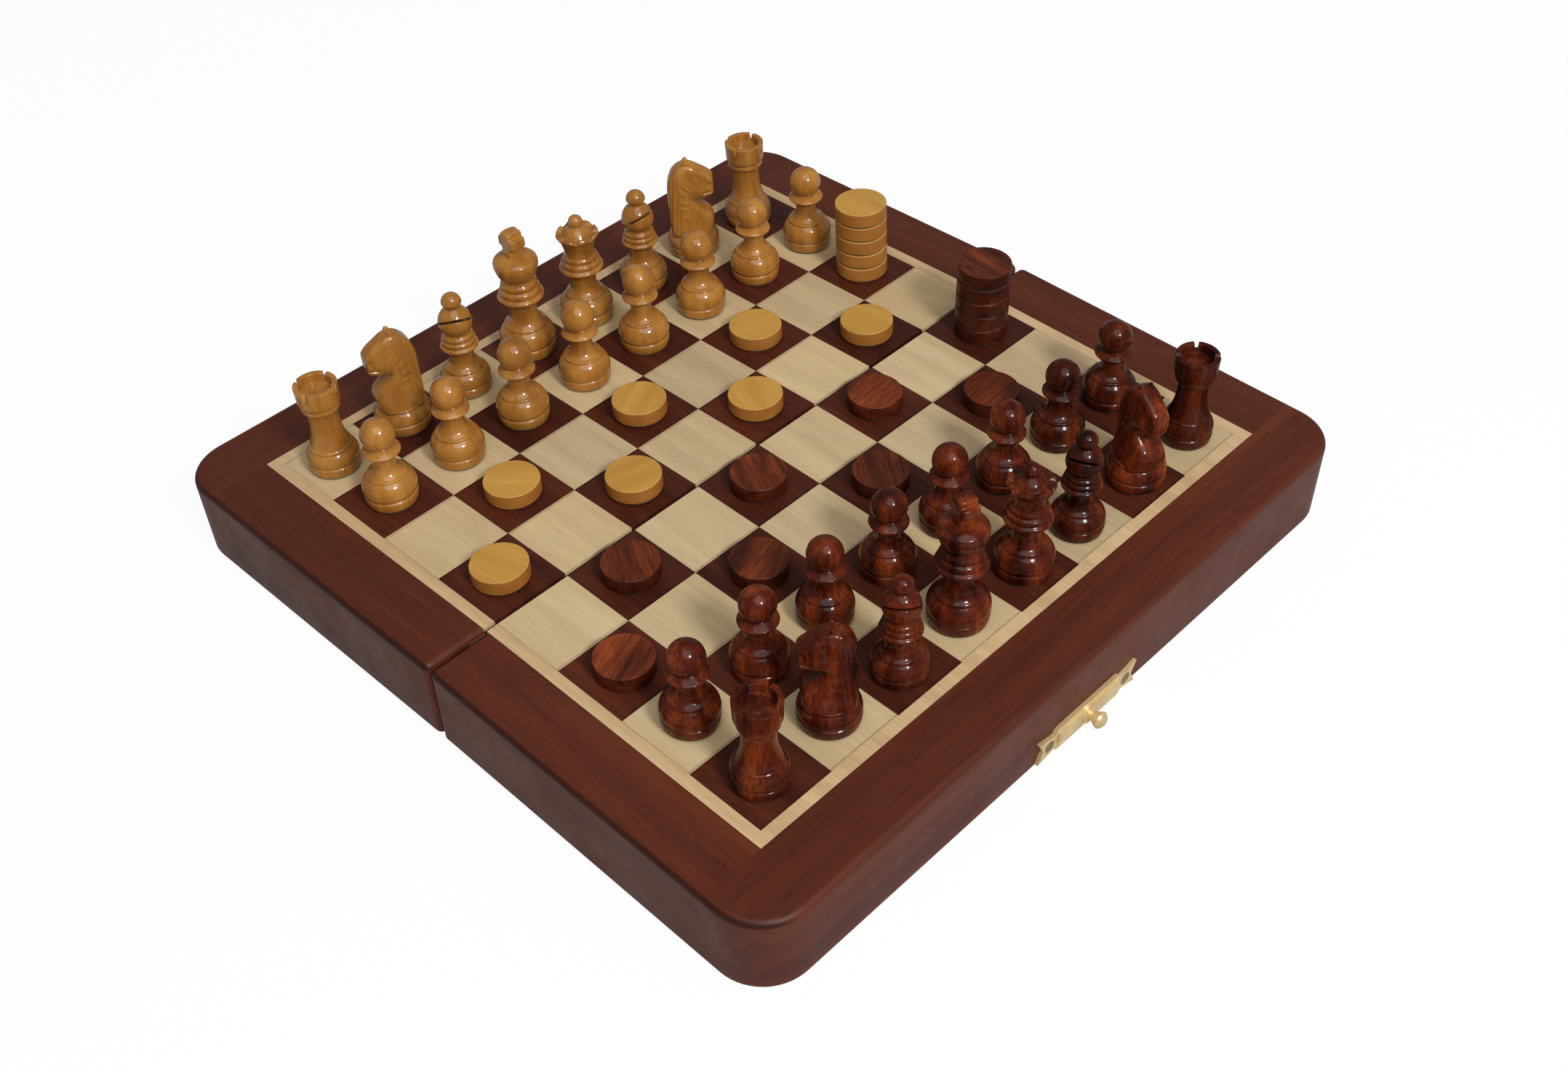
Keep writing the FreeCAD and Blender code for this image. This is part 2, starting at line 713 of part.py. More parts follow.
def stringing(half):
    """Pale inlay strip round three sides of the squares."""
    strips = [
        bound_box(f"{half}_strip_far", -inlay_half, inlay_half, field_depth, inlay_depth, steel_top, top_z),
        bound_box(f"{half}_strip_left", -inlay_half, -field_half, seam_y, field_depth, steel_top, top_z),
        bound_box(f"{half}_strip_right", field_half, inlay_half, seam_y, field_depth, steel_top, top_z),
    ]
    finish(compound(f"{half}_strip_group", strips), f"{half}_stringing", half_stand[half])


def felt_lining(half):
    """Tray of felt glued to the panel's underside and the inner walls."""
    body = new_body(f"{half}_felt_lining_body")
    gap = d("lining_clearance")
    wall = d("lining_thickness")
    near_y = seam_y + d("spine_width") + gap
    reach = inlay_half - gap
    far_y = inlay_depth - gap
    outline = new_sketch(body, f"{half}_lining_plan", "XY_Plane", panel_bottom)
    draw_box(outline, -reach, reach, near_y, far_y)
    depth = panel_bottom - rim_z - wall
    extrude(body, "Pad", outline, depth, reverse=True)
    inside = new_sketch(body, f"{half}_lining_inside", "XY_Plane", panel_bottom - wall)
    draw_box(inside, wall - reach, reach - wall, near_y + wall, far_y - wall)
    extrude(body, "Pocket", inside, depth, reverse=False)
    finish(body, f"{half}_felt_lining", half_stand[half])


# Hinges and fasteners


def hinge_leaf(half, index):
    """Leaf in its mortise with its knuckles: the light half has the end ones, the dark the middle."""
    body = new_body(f"{half}_leaf_{index}")
    knuckle = (d("hinge_length") - d("knuckle_gap") * 2) / 3
    inner = knuckle / 2
    outer = inner + d("knuckle_gap")
    root = d("hinge_pin_radius") + d("pin_clearance") * 2
    clear = d("barrel_radius") + d("barrel_relief")
    reach = d("leaf_reach")
    plan = new_sketch(body, f"{half}_leaf_{index}_plan", "XY_Plane", rim_z)
    if half == "light":
        draw_outline(plan, [
            (-hinge_half, root, None), (-outer, root, None), (-outer, clear, None),
            (outer, clear, None), (outer, root, None), (hinge_half, root, None),
            (hinge_half, reach, None), (-hinge_half, reach, None),
        ])
        spans = [(-hinge_half, -outer), (outer, hinge_half)]
    else:
        draw_outline(plan, [
            (-inner, root, None), (inner, root, None), (inner, clear, None), (hinge_half, clear, None),
            (hinge_half, reach, None), (-hinge_half, reach, None), (-hinge_half, clear, None),
            (-inner, clear, None),
        ])
        spans = [(-inner, inner)]
    extrude(body, "Pad", plan, d("brass_thickness"))
    for i, (low, high) in enumerate(spans):
        barrel = new_sketch(body, f"{half}_leaf_{index}_barrel_{i}", "YZ_Plane", low)
        draw_circle(barrel, zero, zero, d("barrel_radius"))
        extrude(body, "Pad", barrel, high - low)
    bore = new_sketch(body, f"{half}_leaf_{index}_bore", "YZ_Plane")
    draw_circle(bore, zero, zero, d("hinge_pin_radius") + d("pin_clearance"))
    extrude(body, "Pocket", bore, d("hinge_length") * 2, side="Symmetric")
    holes = new_sketch(body, f"{half}_leaf_{index}_holes", "XY_Plane", rim_z)
    for side in (-0.5, 0.5):
        draw_circle(holes, d("leaf_screw_spacing") * side, d("leaf_screw_reach"), screw_hole)
    extrude(body, "Pocket", holes, d("brass_thickness"), reverse=True)
    sink = d("screw_head_radius") - d("screw_shank_radius")
    round_edges(body, f"{half}_leaf_{index}_sinks", sink,
                lambda p, e: near(p.z, rim_z) and e.Closed and near(e.Curve.Radius, screw_hole), "Chamfer")
    body.setExpression("Placement.Base.x", hinge_places[index].text)
    return body


def hinge_leaves(half):
    pair = compound(f"{half}_leaf_pair", [hinge_leaf(half, 0), hinge_leaf(half, 1)])
    finish(pair, f"{half}_hinge_leaves", half_stand[half])


def hinge_pins():
    pins = []
    for i, place in enumerate(hinge_places):
        pin = doc.addObject("Part::Cylinder", f"hinge_pin_{i}")
        pin.setExpression("Radius", d("hinge_pin_radius").text)
        pin.setExpression("Height", d("hinge_length").text)
        pin.Placement = placed(turn=FreeCAD.Rotation(FreeCAD.Vector(0, 1, 0), 90))
        pin.setExpression("Placement.Base.x", (place - hinge_half).text)
        pins.append(pin)
    finish(compound("hinge_pin_pair", pins), "hinge_pins", half_stand["light"])


def screw(name, stand):
    """Countersunk wood screw, its head flush at Z 0 and its shank running up Z."""
    body = new_body(name)
    profile = new_sketch(body, f"{name}_profile", "XZ_Plane")
    head = d("screw_head_radius")
    shank = d("screw_shank_radius")
    draw_outline(profile, [
        (zero, zero, None), (head, zero, None), (shank, head - shank, None),
        (shank, d("screw_length") - shank, None), (zero, d("screw_length"), None),
    ])
    revolve(body, "Revolution", profile)
    body.Placement = stand
    return body


def brass_screws(half):
    """Hinge screws from the rim and clasp screws from the outer wall, all of one size."""
    screws = []
    for place in hinge_places:
        for side in (-0.5, 0.5):
            x = place + d("leaf_screw_spacing") * side
            stand = placed(x.value, d("leaf_screw_reach").value, rim_z.value)
            screws.append(screw(f"{half}_screw_{len(screws)}", stand))
    outward = half_depth + d("brass_thickness")
    inward_turn = FreeCAD.Rotation(about_x, 90)
    for side in (-1, 1):
        x = clasp_screw_x * side
        stand = placed(x.value, outward.value, clasp_z.value, inward_turn)
        screws.append(screw(f"{half}_screw_{len(screws)}", stand))
    finish(compound(f"{half}_screw_group", screws), f"{half}_brass_screws", half_stand[half])


# Clasp: a fishtail plate on each half, one with a stud, one with a hook that swings to catch it


hook_low = d("stud_collar_top") + d("hook_side_clearance")
hook_high = hook_low + d("hook_thickness")
head_low = hook_high + d("hook_side_clearance")


def clasp_plate(name, neck_top):
    """Fishtail plate with a raised middle strip and a turned brass stud."""
    body = new_body(f"{name}_body")
    tail = d("clasp_length") / 2
    notch = tail - d("clasp_tail_notch")
    tip = d("clasp_tail_height") / 2
    waist = d("clasp_waist_height") / 2
    strip = clasp_screw_x - d("clasp_strip_margin")
    strip_half = d("clasp_strip_height") / 2
    waist_x = strip + (strip_half - waist)
    right = [(tail, tip), (waist_x, waist), (strip, strip_half)]
    corners = [(notch, zero)] + right
    corners = corners + [(-x, y) for x, y in reversed(right)] + [(-notch, zero)]
    corners = corners + [(-x, -y) for x, y in right]
    corners = corners + [(x, -y) for x, y in reversed(right)]
    plan = new_sketch(body, f"{name}_plan", "XY_Plane")
    draw_outline(plan, [(x, y, None) for x, y in corners])
    extrude(body, "Pad", plan, d("brass_thickness"))
    raised = new_sketch(body, f"{name}_strip", "XY_Plane", d("brass_thickness"))
    draw_box(raised, -strip, strip, -waist, waist)
    extrude(body, "Pad", raised, d("clasp_strip_thickness"))
    holes = new_sketch(body, f"{name}_holes", "XY_Plane")
    for side in (-1, 1):
        draw_circle(holes, clasp_screw_x * side, zero, screw_hole)
    extrude(body, "Pocket", holes, d("brass_thickness"), reverse=True)
    sink = d("screw_head_radius") - d("screw_shank_radius")
    round_edges(body, f"{name}_sinks", sink,
                lambda p, e: near(p.z, d("brass_thickness")) and e.Closed, "Chamfer")
    stud = new_sketch(body, f"{name}_stud", "XZ_Plane")
    collar = d("stud_collar_radius")
    neck = d("stud_neck_radius")
    head = d("stud_head_radius")
    top = d("stud_projection")
    widest = top - d("stud_head_height") / 2
    draw_outline(stud, [
        (zero, d("brass_thickness") / 2, None),
        (collar, d("brass_thickness") / 2, None),
        (collar, d("stud_collar_top"), None),
        (neck, d("stud_collar_top"), None),
        (neck, neck_top, None),
        (d("stud_head_foot_radius"), neck_top, None),
        (head, widest, dome),
        (zero, top, None),
    ])
    revolve(body, "Revolution", stud)
    return body


def clasp_stud_plate():
    body = clasp_plate("clasp_stud_plate", d("stud_projection") - d("stud_head_height"))
    finish(body, "clasp_stud_plate", half_stand["dark"].multiply(clasp_stand))


def clasp_hook_plate():
    body = clasp_plate("clasp_hook_plate", head_low)
    finish(body, "clasp_hook_plate", half_stand["light"].multiply(clasp_stand))


def clasp_hook():
    """Hook lying along the plate; its catch sits one stud spacing from its eye when it hangs down."""
    body = new_body("clasp_hook_body")
    plan = new_sketch(body, "clasp_hook_plan", "XY_Plane", hook_low)
    catch_x = clasp_z * 2
    catch = d("stud_neck_radius") + d("hook_catch_clearance")
    eye = d("hook_eye_radius")
    end = d("hook_end_radius")
    lip = d("hook_lip_height")
    corner_share = 1 - math.sqrt(0.5)
    mouth_x = catch_x - catch - d("hook_mouth_flare")
    draw_outline(plan, [
        (zero, -eye, None),
        (catch_x, -end, end * corner_share),
        (catch_x + end, zero, None),
        (catch_x + end - d("hook_lip_rake"), lip, None),
        (catch_x + catch, lip, None),
        (catch_x + catch, zero, -catch * corner_share),
        (catch_x, -catch, -catch * corner_share),
        (catch_x - catch, zero, None),
        (mouth_x, eye, None),
        (zero, eye, eye * corner_share),
        (-eye, zero, eye * corner_share),
    ])
    extrude(body, "Pad", plan, d("hook_thickness"))
    bore = new_sketch(body, "clasp_hook_bore", "XY_Plane", hook_low)
    draw_circle(bore, zero, zero, d("stud_neck_radius") + d("pin_clearance"))
    extrude(body, "Pocket", bore, d("hook_thickness"), reverse=True)
    finish(body, "clasp_hook", half_stand["light"].multiply(clasp_stand))


# Chessmen and checkers


def station_size(kind, station, part, number):
    return m(f"{kind}_{station}_{part}") if number else zero


def turning(kind):
    """Turned body of a man, standing at Z 0, bored in the base for its magnet."""
    body = new_body(f"{kind}_body")
    profile = new_sketch(body, f"{kind}_profile", "XZ_Plane")
    pocket = d("magnet_radius") + d("magnet_clearance")
    depth = d("magnet_thickness") + d("magnet_clearance")
    corners = [[zero, depth, None], [pocket, depth, None], [pocket, zero, None]]
    radius = zero
    height = zero
    for station, radius_number, rise_number, bulge_number in turnings[kind]:
        if radius_number is not None:
            radius = station_size(kind, station, "radius", radius_number)
        if rise_number:
            height = height + m(f"{kind}_{station}_rise")
        if bulge_number:
            corners[-1][2] = dome if bulge_number == dome else m(f"{kind}_{station}_bulge")
        corners.append([radius, height, None])
    draw_outline(profile, [tuple(corner) for corner in corners])
    revolve(body, "Revolution", profile)
    return body, height


def station_height(kind, last):
    """Height of a station above the foot."""
    height = zero
    for station, radius, rise, bulge in turnings[kind]:
        if rise:
            height = height + m(f"{kind}_{station}_rise")
        if station == last:
            return height


def rook_slots(body):
    """Two slots across the rim leave four merlons."""
    top = station_height("rook", "head_top")
    half = m("rook_slot_width") / 2
    for plane in ("XZ_Plane", "YZ_Plane"):
        slot = new_sketch(body, f"rook_slot_{plane}", plane)
        draw_box(slot, -half, half, top - m("rook_slot_depth"), top + m("rook_slot_depth"))
        extrude(body, "Pocket", slot, m("rook_head_top_radius") * 3, side="Symmetric")


def bishop_slit(body):
    """Slanted saw cut into one side of the mitre."""
    slit = new_sketch(body, "bishop_slit", "XZ_Plane")
    inner_x = m("bishop_head_widest_radius") - m("bishop_slit_reach")
    outer_x = m("bishop_head_widest_radius") + m("bishop_slit_reach")
    low = station_height("bishop", "head_widest") + m("bishop_slit_rise")
    climb = (outer_x - inner_x) * d("bishop_slit_climb")
    width = m("bishop_slit_width")
    draw_outline(slit, [
        (inner_x, low, None), (outer_x, low + climb, None),
        (outer_x, low + climb + width, None), (inner_x, low + width, None),
    ])
    extrude(body, "Pocket", slit, m("bishop_head_widest_radius") * 3, side="Symmetric")


def queen_coronet(body):
    """Round notches in the crown's rim, one cut and then patterned."""
    top = station_height("queen", "crown_lip")
    inner = m("queen_crown_rim_radius") - m("queen_notch_depth")
    notch = new_sketch(body, "queen_notch", "YZ_Plane", inner)
    draw_circle(notch, zero, top, m("queen_notch_radius"))
    cut = extrude(body, "Pocket", notch, m("queen_notch_depth") * 2, reverse=True)
    ring = body.newObject("PartDesign::PolarPattern", "queen_notches")
    ring.Originals = [cut]
    ring.Axis = (origin_feature(body, "Z_Axis"), [""])
    ring.Occurrences = queen_notch_count
    body.Tip = ring
    doc.recompute()


def king_cross(body):
    """Stubby cross standing on the dome, waisted below its arms."""
    foot = station_height("king", "dome_top") - m("king_cross_root")
    top = foot + m("king_cross_root") + m("king_cross_height")
    half = m("king_cross_width") / 2
    waist = m("king_cross_waist") / 2
    arm_top = top - m("king_cross_tip")
    arm_low = arm_top - m("king_cross_arm")
    cross = new_sketch(body, "king_cross", "XZ_Plane")
    right = [
        (waist, foot), (waist, arm_low), (half, arm_low),
        (half, arm_top), (waist, arm_top), (waist, top),
    ]
    corners = right + [(-x, z) for x, z in reversed(right)]
    draw_outline(cross, [(x, z, None) for x, z in corners])
    extrude(body, "Pad", cross, m("king_cross_thickness"), side="Symmetric")


def horse(body, base):
    """Horse's head: the side outline, cut back on both cheeks and rounded down to the turned base."""
    side = new_sketch(body, "knight_side", "XZ_Plane")
    corners = []
    for corner, reach, height, bulge in horse_head:
        x = m(f"knight_{corner}_reach")
        z = base + m(f"knight_{corner}_height") if height else base
        corners.append((x, z, m(f"knight_{corner}_bulge") if bulge else None))
    draw_outline(side, corners)
    extrude(body, "Pad", side, m("knight_foot_half") * 2, side="Symmetric")
    cheek_z = base + m("knight_jaw_height")
    brow_z = base + m("knight_brow_height")
    ear_z = base + m("knight_ear_tip_height")
    above = ear_z + m("knight_ear_split")
    foot = m("knight_foot_half")
    cheek = m("knight_cheek_half")
    brow = m("knight_brow_half")
    ear = m("knight_ear_half")
    for sign in (-1, 1):
        cut = new_sketch(body, f"knight_cheek_{sign + 1}", "YZ_Plane")
        draw_outline(cut, [
            (foot * sign, base, None), (foot * (2 * sign), base, None), (foot * (2 * sign), above, None),
            (ear * sign, above, None), (ear * sign, ear_z, None), (brow * sign, brow_z, None),
            (cheek * sign, cheek_z, None),
        ])
        extrude(body, "Pocket", cut, m("knight_nose_reach") * 4, side="Symmetric")
    flare = new_sketch(body, "knight_foot_flare", "XZ_Plane")
    seat = m("knight_bead_top_radius")
    reach = seat + m("knight_foot_flare")
    flare_top = base + m("knight_foot_flare")
    draw_outline(flare, [(seat, base, None), (reach, base, None), (reach, flare_top, None)])
    revolve(body, "Groove", flare)
    split = new_sketch(body, "knight_ear_split", "YZ_Plane")
    gap = m("knight_ear_gap")
    draw_outline(split, [
        (zero, ear_z - m("knight_ear_split"), None), (gap, above, None), (-gap, above, None),
    ])
    extrude(body, "Pocket", split, m("knight_nose_reach") * 4, side="Symmetric")


def man(kind):
    """The pieces of one man: turned or carved wood, the magnet in its base, the felt under it."""
    body, top = turning(kind)
    if kind == "rook":
        rook_slots(body)
    if kind == "bishop":
        bishop_slit(body)
    if kind == "queen":
        queen_coronet(body)
    if kind == "king":
        king_cross(body)
    if kind == "knight":
        horse(body, top)
    magnet = bound_cylinder(f"{kind}_magnet", d("magnet_radius"), d("magnet_thickness"), zero)
    felt_radius = m(f"{kind}_foot_radius") - d("felt_inset")
    felt = bound_cylinder(f"{kind}_felt", felt_radius, d("felt_thickness"), -d("felt_thickness"))
    return [body, magnet, felt]


def square_middle(file, rank):
    x = d("square_size") * (file + 0.5 - files / 2)
    y = d("square_size") * (rank + 0.5 - ranks_per_half)
    return x.value, y.value


def standing(half, file, rank, nudge_x=0, nudge_y=0, turn=0, level=0):
    """Where a man stands: the middle of its square, nudged and turned, on the veneer or on a stack."""
    x, y = square_middle(file, rank)
    way = 1 if half == "light" else -1
    lift = top_z + d("seat_clearance") + d("felt_thickness") + checker_pitch * level
    turned = turn if half == "light" else turn + 180
    spot = placed((x + nudge_x) * way, (y + nudge_y) * way, lift.value, FreeCAD.Rotation(about_z, turned))
    return half_stand[half].multiply(spot)


checker_pitch = station_height("checker", "face") + d("felt_thickness")


def chessmen(half, men):
    """Sixteen men of one side, each an assembly of its own."""
    back = 2 * ranks_per_half - 1 if half == "light" else 0
    front = back - 1 if half == "light" else 1
    seen = {}
    for file, kind in enumerate(back_rank):
        seen[kind] = seen.get(kind, 0) + 1
        paired = back_rank.count(kind) > 1
        label = f"{half}_{kind}_{seen[kind]}" if paired else f"{half}_{kind}"
        nudge_x = m(f"{half}_nudge_x_{file}").value
        nudge_y = m(f"{half}_nudge_y_{file}").value
        turn = turns[half][kind][seen[kind] - 1] if kind in turns[half] else 0
        group = compound(f"{label}_group", men[kind])
        finish(group, label, standing(half, file, back, nudge_x, nudge_y, turn))
    for file in range(files):
        group = compound(f"{half}_pawn_{file}_group", men["pawn"])
        finish(group, f"{half}_pawn_{file + 1}", standing(half, file, front))


def checkers(half, places, checker):
    """Seven checkers on their squares and the stack beside them."""
    members = []
    spots = [(file, rank, 0) for file, rank in places]
    spots = spots + [(*stack_squares[half], level) for level in range(stack_count)]
    for file, rank, level in spots:
        one = compound(f"{half}_checker_{len(members)}", checker)
        one.Placement = half_stand[half].inverse().multiply(standing(half, file, rank, level=level))
        members.append(one)
    finish(compound(f"{half}_checker_group", members), f"{half}_checkers", half_stand[half])


for half in ("light", "dark"):
    long_rail(half)
    side_rails(half)
    spine_rail(half)
    layers(half)
    squares(half)
    stringing(half)
    felt_lining(half)
    hinge_leaves(half)
    brass_screws(half)
hinge_pins()
clasp_stud_plate()
clasp_hook_plate()
clasp_hook()
men = {kind: man(kind) for kind in turnings}
chessmen("light", men)
chessmen("dark", men)
checkers("light", light_checker_squares, men["checker"])
checkers("dark", dark_checker_squares, men["checker"])

doc.recompute()
for obj in doc.Objects:
    if "Invalid" in obj.State or "Error" in obj.State:
        raise RuntimeError(f"{obj.Label} did not build: {obj.State}")
for node in nodes:
    if node.Shape.isNull() or not node.Shape.isValid():
        raise RuntimeError(f"{node.Label} has no valid shape")

os.makedirs("parts", exist_ok=True)
for node in nodes:
    node.Shape.exportStep(f"parts/{node.Label}.step")
print(f"{len(nodes)} parts, each half leans {math.degrees(lean):.3f} degrees")
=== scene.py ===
import json
import math

import bpy
import numpy as np
from mathutils import Matrix, Vector


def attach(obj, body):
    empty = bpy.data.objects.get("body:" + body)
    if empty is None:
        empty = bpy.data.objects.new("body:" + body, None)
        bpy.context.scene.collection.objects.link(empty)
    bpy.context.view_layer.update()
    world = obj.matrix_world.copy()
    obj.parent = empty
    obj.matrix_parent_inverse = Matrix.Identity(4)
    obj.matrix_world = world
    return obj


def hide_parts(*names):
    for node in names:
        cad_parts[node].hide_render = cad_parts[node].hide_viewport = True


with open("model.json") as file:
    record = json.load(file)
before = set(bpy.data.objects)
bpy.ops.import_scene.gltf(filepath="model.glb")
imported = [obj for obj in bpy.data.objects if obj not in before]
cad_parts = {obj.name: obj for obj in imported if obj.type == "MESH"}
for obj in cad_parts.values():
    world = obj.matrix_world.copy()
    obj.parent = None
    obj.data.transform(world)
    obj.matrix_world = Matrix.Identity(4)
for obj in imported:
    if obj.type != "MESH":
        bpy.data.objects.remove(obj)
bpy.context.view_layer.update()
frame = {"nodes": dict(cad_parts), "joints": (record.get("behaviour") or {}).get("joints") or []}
print("frame loaded:", len(frame["nodes"]), "CAD nodes")

mm = 0.001
joints = {joint["name"]: joint for joint in frame["joints"]}
halfUp = np.array(joints["light_king_lift"]["axis"])  # square to the light half's top
hingeHeight = joints["fold"]["pos_m"][2]

board = {
    "square": 18.0,
    "topAboveHinge": 19.1,  # veneer above the hinge axis, square to the half
    "seatGap": 0.05,
    "feltThick": 0.4,
    "feltInset": 0.25,
}


# A half's flat frame leaned about the seam by the half's slope and lifted to the hinge;
# the dark half is the light one turned half round.
def standOnHalf(points, half):
    x, y, z = np.moveaxis(np.asarray(points, float), -1, 0)
    sine, cosine = halfUp[1], halfUp[2]
    leaned = np.stack([x, y * cosine + z * sine, z * cosine - y * sine + hingeHeight], axis=-1)
    return leaned if half == "light" else leaned * (-1, -1, 1)


# A man's own frame (millimetres, foot of the wood at height 0) turned by turn degrees and set on
# its square: file and rank count from the -X, -Y corner, nudge is off the square's middle.
def standOnSquare(points, half, file, rank, nudge=(0, 0), turn=0, level=0):
    way = 1 if half == "light" else -1
    angle = math.radians(turn + (0 if half == "light" else 180))
    x, y, z = np.moveaxis(np.asarray(points, float), -1, 0)
    placeX = ((file - 3.5) * board["square"] + nudge[0]) * way
    placeY = ((rank - 3.5) * board["square"] + nudge[1]) * way
    foot = board["topAboveHinge"] + board["seatGap"] + board["feltThick"] + level
    flat = np.stack([
        x * math.cos(angle) - y * math.sin(angle) + placeX,
        x * math.sin(angle) + y * math.cos(angle) + placeY,
        z + foot,
    ], axis=-1)
    return standOnHalf(flat * mm, half)


outlineSteps = {"arc": 28, "foot": 40}


# Points on the arc from start to end whose middle stands off the chord by bulge, to the right of
# the way; the half angle is twice the arctangent of bulge over half the chord.
def arcPoints(start, end, bulge, steps=outlineSteps["arc"]):
    start, end = np.array(start, float), np.array(end, float)
    share = np.linspace(0, 1, steps, endpoint=False)[:, None]
    if not bulge:
        return start + (end - start) * share
    chord = end - start
    length = np.hypot(*chord)
    halfAngle = 2 * math.atan(2 * abs(bulge) / length)
    radius = length / 2 / math.sin(halfAngle)
    along = chord / length
    right = np.array([along[1], -along[0]]) * np.sign(bulge)
    swing = (share * 2 - 1) * halfAngle
    middle = (start + end) / 2
    return middle + along * radius * np.sin(swing) + right * radius * (np.cos(swing) - math.cos(halfAngle))


softening = {"stepsPerBlur": 3, "leastSteps": 60, "reach": 12, "bendSpan": 7}


# Bell curve of weights that add up to 1: e to the power of minus half the squared distance in widths.
def bellCurve(reach, width):
    bell = np.exp(-0.5 * (np.arange(-reach, reach + 1) / width) ** 2)
    return bell / bell.sum()


# Even steps along a line of points, blurred with a bell curve so that lacquer rounds the corners,
# then thinned to count points that crowd where the line bends.
def softLine(points, blur, count, closed=False):
    line = np.vstack([points, points[:1]]) if closed else np.asarray(points)
    gaps = np.hypot(*np.diff(line, axis=0).T)
    keep = np.r_[True, gaps > 1e-9]
    line = line[keep]
    run = np.r_[0, np.cumsum(np.hypot(*np.diff(line, axis=0).T))]
    step = blur / softening["stepsPerBlur"]
    total = max(int(run[-1] / step), softening["leastSteps"])
    even = np.linspace(0, run[-1], total + 1)
    smooth = np.stack([np.interp(even, run, line[:, k]) for k in range(2)], axis=1)
    reach = softening["reach"]
    bell = bellCurve(reach, softening["stepsPerBlur"])
    if closed:
        padded = np.vstack([smooth[-reach - 1:-1], smooth, smooth[1:reach + 1]])
    else:  # past the axis the outline goes on mirrored
        mirror = np.array([-1, 1])
        padded = np.vstack([smooth[reach:0:-1] * mirror, smooth, smooth[-2:-reach - 2:-1] * mirror])
    smooth = np.stack([np.convolve(padded[:, k], bell, "valid") for k in range(2)], axis=1)
    tangent = np.gradient(smooth, axis=0)
    heading = np.unwrap(np.arctan2(tangent[:, 1], tangent[:, 0]))
    bend = np.abs(np.gradient(heading))
    bend = np.convolve(bend, np.ones(softening["bendSpan"]) / softening["bendSpan"], "same")
    weight = np.r_[0, np.cumsum(1 / total + (bend[1:] + bend[:-1]) / 2 / max(bend.sum(), 1e-9))]
    wanted = np.linspace(0, weight[-1], count + 1)
    picked = np.interp(wanted, weight, np.arange(total + 1))
    thin = np.stack([np.interp(picked, np.arange(total + 1), smooth[:, k]) for k in range(2)], axis=1)
    return thin[:-1] if closed else thin


# Outline of a turned man: from the middle of the foot out to its edge, then each station's arc.
# A dome is the ball that meets the axis: its radius is chord squared over twice the climb.
def turnedOutline(stations, blur, count):
    radius, height = stations[0][0], 0.0
    stretches = [arcPoints((0, 0), (radius, 0), 0, outlineSteps["foot"])]
    for nextRadius, rise, bulge in stations[1:]:
        start = (radius, height)
        radius = radius if nextRadius is None else nextRadius
        height = height + rise
        if bulge == "dome":
            chord = math.hypot(start[0] - radius, rise)
            ball = chord * chord / (2 * rise)
            bulge = ball - math.sqrt(max(ball * ball - chord * chord / 4, 0))
        stretches.append(arcPoints(start, (radius, height), bulge))
    stretches.append(np.array([[radius, height]]))
    line = softLine(np.vstack(stretches), blur, count)
    line[[0, -1], 0] = 0
    return line


# A grid of rows up the outline and columns round the axis: radius times cosine and sine.
def spun(outline, angles):
    radius, height = outline[:, :1], outline[:, 1:]
    return np.stack([radius * np.cos(angles), radius * np.sin(angles),
                     height + 0 * angles], axis=-1)


# Count angles in even steps once round, the last one a step short of the first.
def evenAngles(count):
    return np.linspace(0, 2 * math.pi, count, endpoint=False)


# Vertices and faces of a grid whose columns wrap and whose end rows are single points; the faces
# are turned to point outward when the signed volume is negative.
def closedShell(grid):
    rows, columns = grid.shape[:2]
    ring = np.arange((rows - 2) * columns).reshape(rows - 2, columns) + 1
    after = np.roll(ring, -1, axis=1)
    last = (rows - 2) * columns + 1
    vertices = np.concatenate([grid[0, :1], grid[1:-1].reshape(-1, 3), grid[-1, :1]])
    quads = np.stack([ring[:-1], after[:-1], after[1:], ring[1:]], axis=-1).reshape(-1, 4)
    low = np.stack([np.zeros(columns, int), after[0], ring[0]], axis=-1)
    high = np.stack([np.full(columns, last), ring[-1], after[-1]], axis=-1)
    triangles = np.concatenate([low, high, quads[:, :3], quads[:, [0, 2, 3]]])
    a, b, c = (vertices[triangles[:, k]] for k in range(3))
    if np.einsum("ij,ij->", a, np.cross(b, c)) < 0:
        quads, low, high = quads[:, ::-1], low[:, ::-1], high[:, ::-1]
    return vertices, [low, high, quads]


# One mesh object of closed shells, already in its place, riding on a body; the optional mask of painted
# shade is 1 at the points of a single shell that lie inside a cut.
def addPiece(name, grids, body, material, slitShadeMask=None):
    vertices, faces, count = [], [], 0
    for grid in grids:
        shellVertices, shellFaces = closedShell(grid)
        vertices.append(shellVertices)
        for block in shellFaces:
            faces.extend((block + count).tolist())
        count += len(shellVertices)
    mesh = bpy.data.meshes.new(name)
    mesh.from_pydata(np.concatenate(vertices).tolist(), [], faces)
    mesh.polygons.foreach_set("use_smooth", np.ones(len(faces), bool))
    mesh.materials.append(material)
    if slitShadeMask is not None:
        shares = np.concatenate([slitShadeMask[0, :1], slitShadeMask[1:-1].ravel(), slitShadeMask[-1, :1]])
        mesh.attributes.new("slitShadeMask", "FLOAT", "POINT").data.foreach_set("value", shares)
    piece = bpy.data.objects.new(name, mesh)
    bpy.context.scene.collection.objects.link(piece)
    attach(piece, body)
    return piece


# A shader node with its settings; an input that is a socket is linked, any other is a plain value.
def addNode(tree, kind, inputs=None, **settings):
    made = tree.nodes.new(kind)
    for key, value in settings.items():
        setattr(made, key, value)
    for key, value in (inputs or {}).items():
        if isinstance(value, bpy.types.NodeSocket):
            tree.links.new(value, made.inputs[key])
        else:
            made.inputs[key].default_value = value
    return made


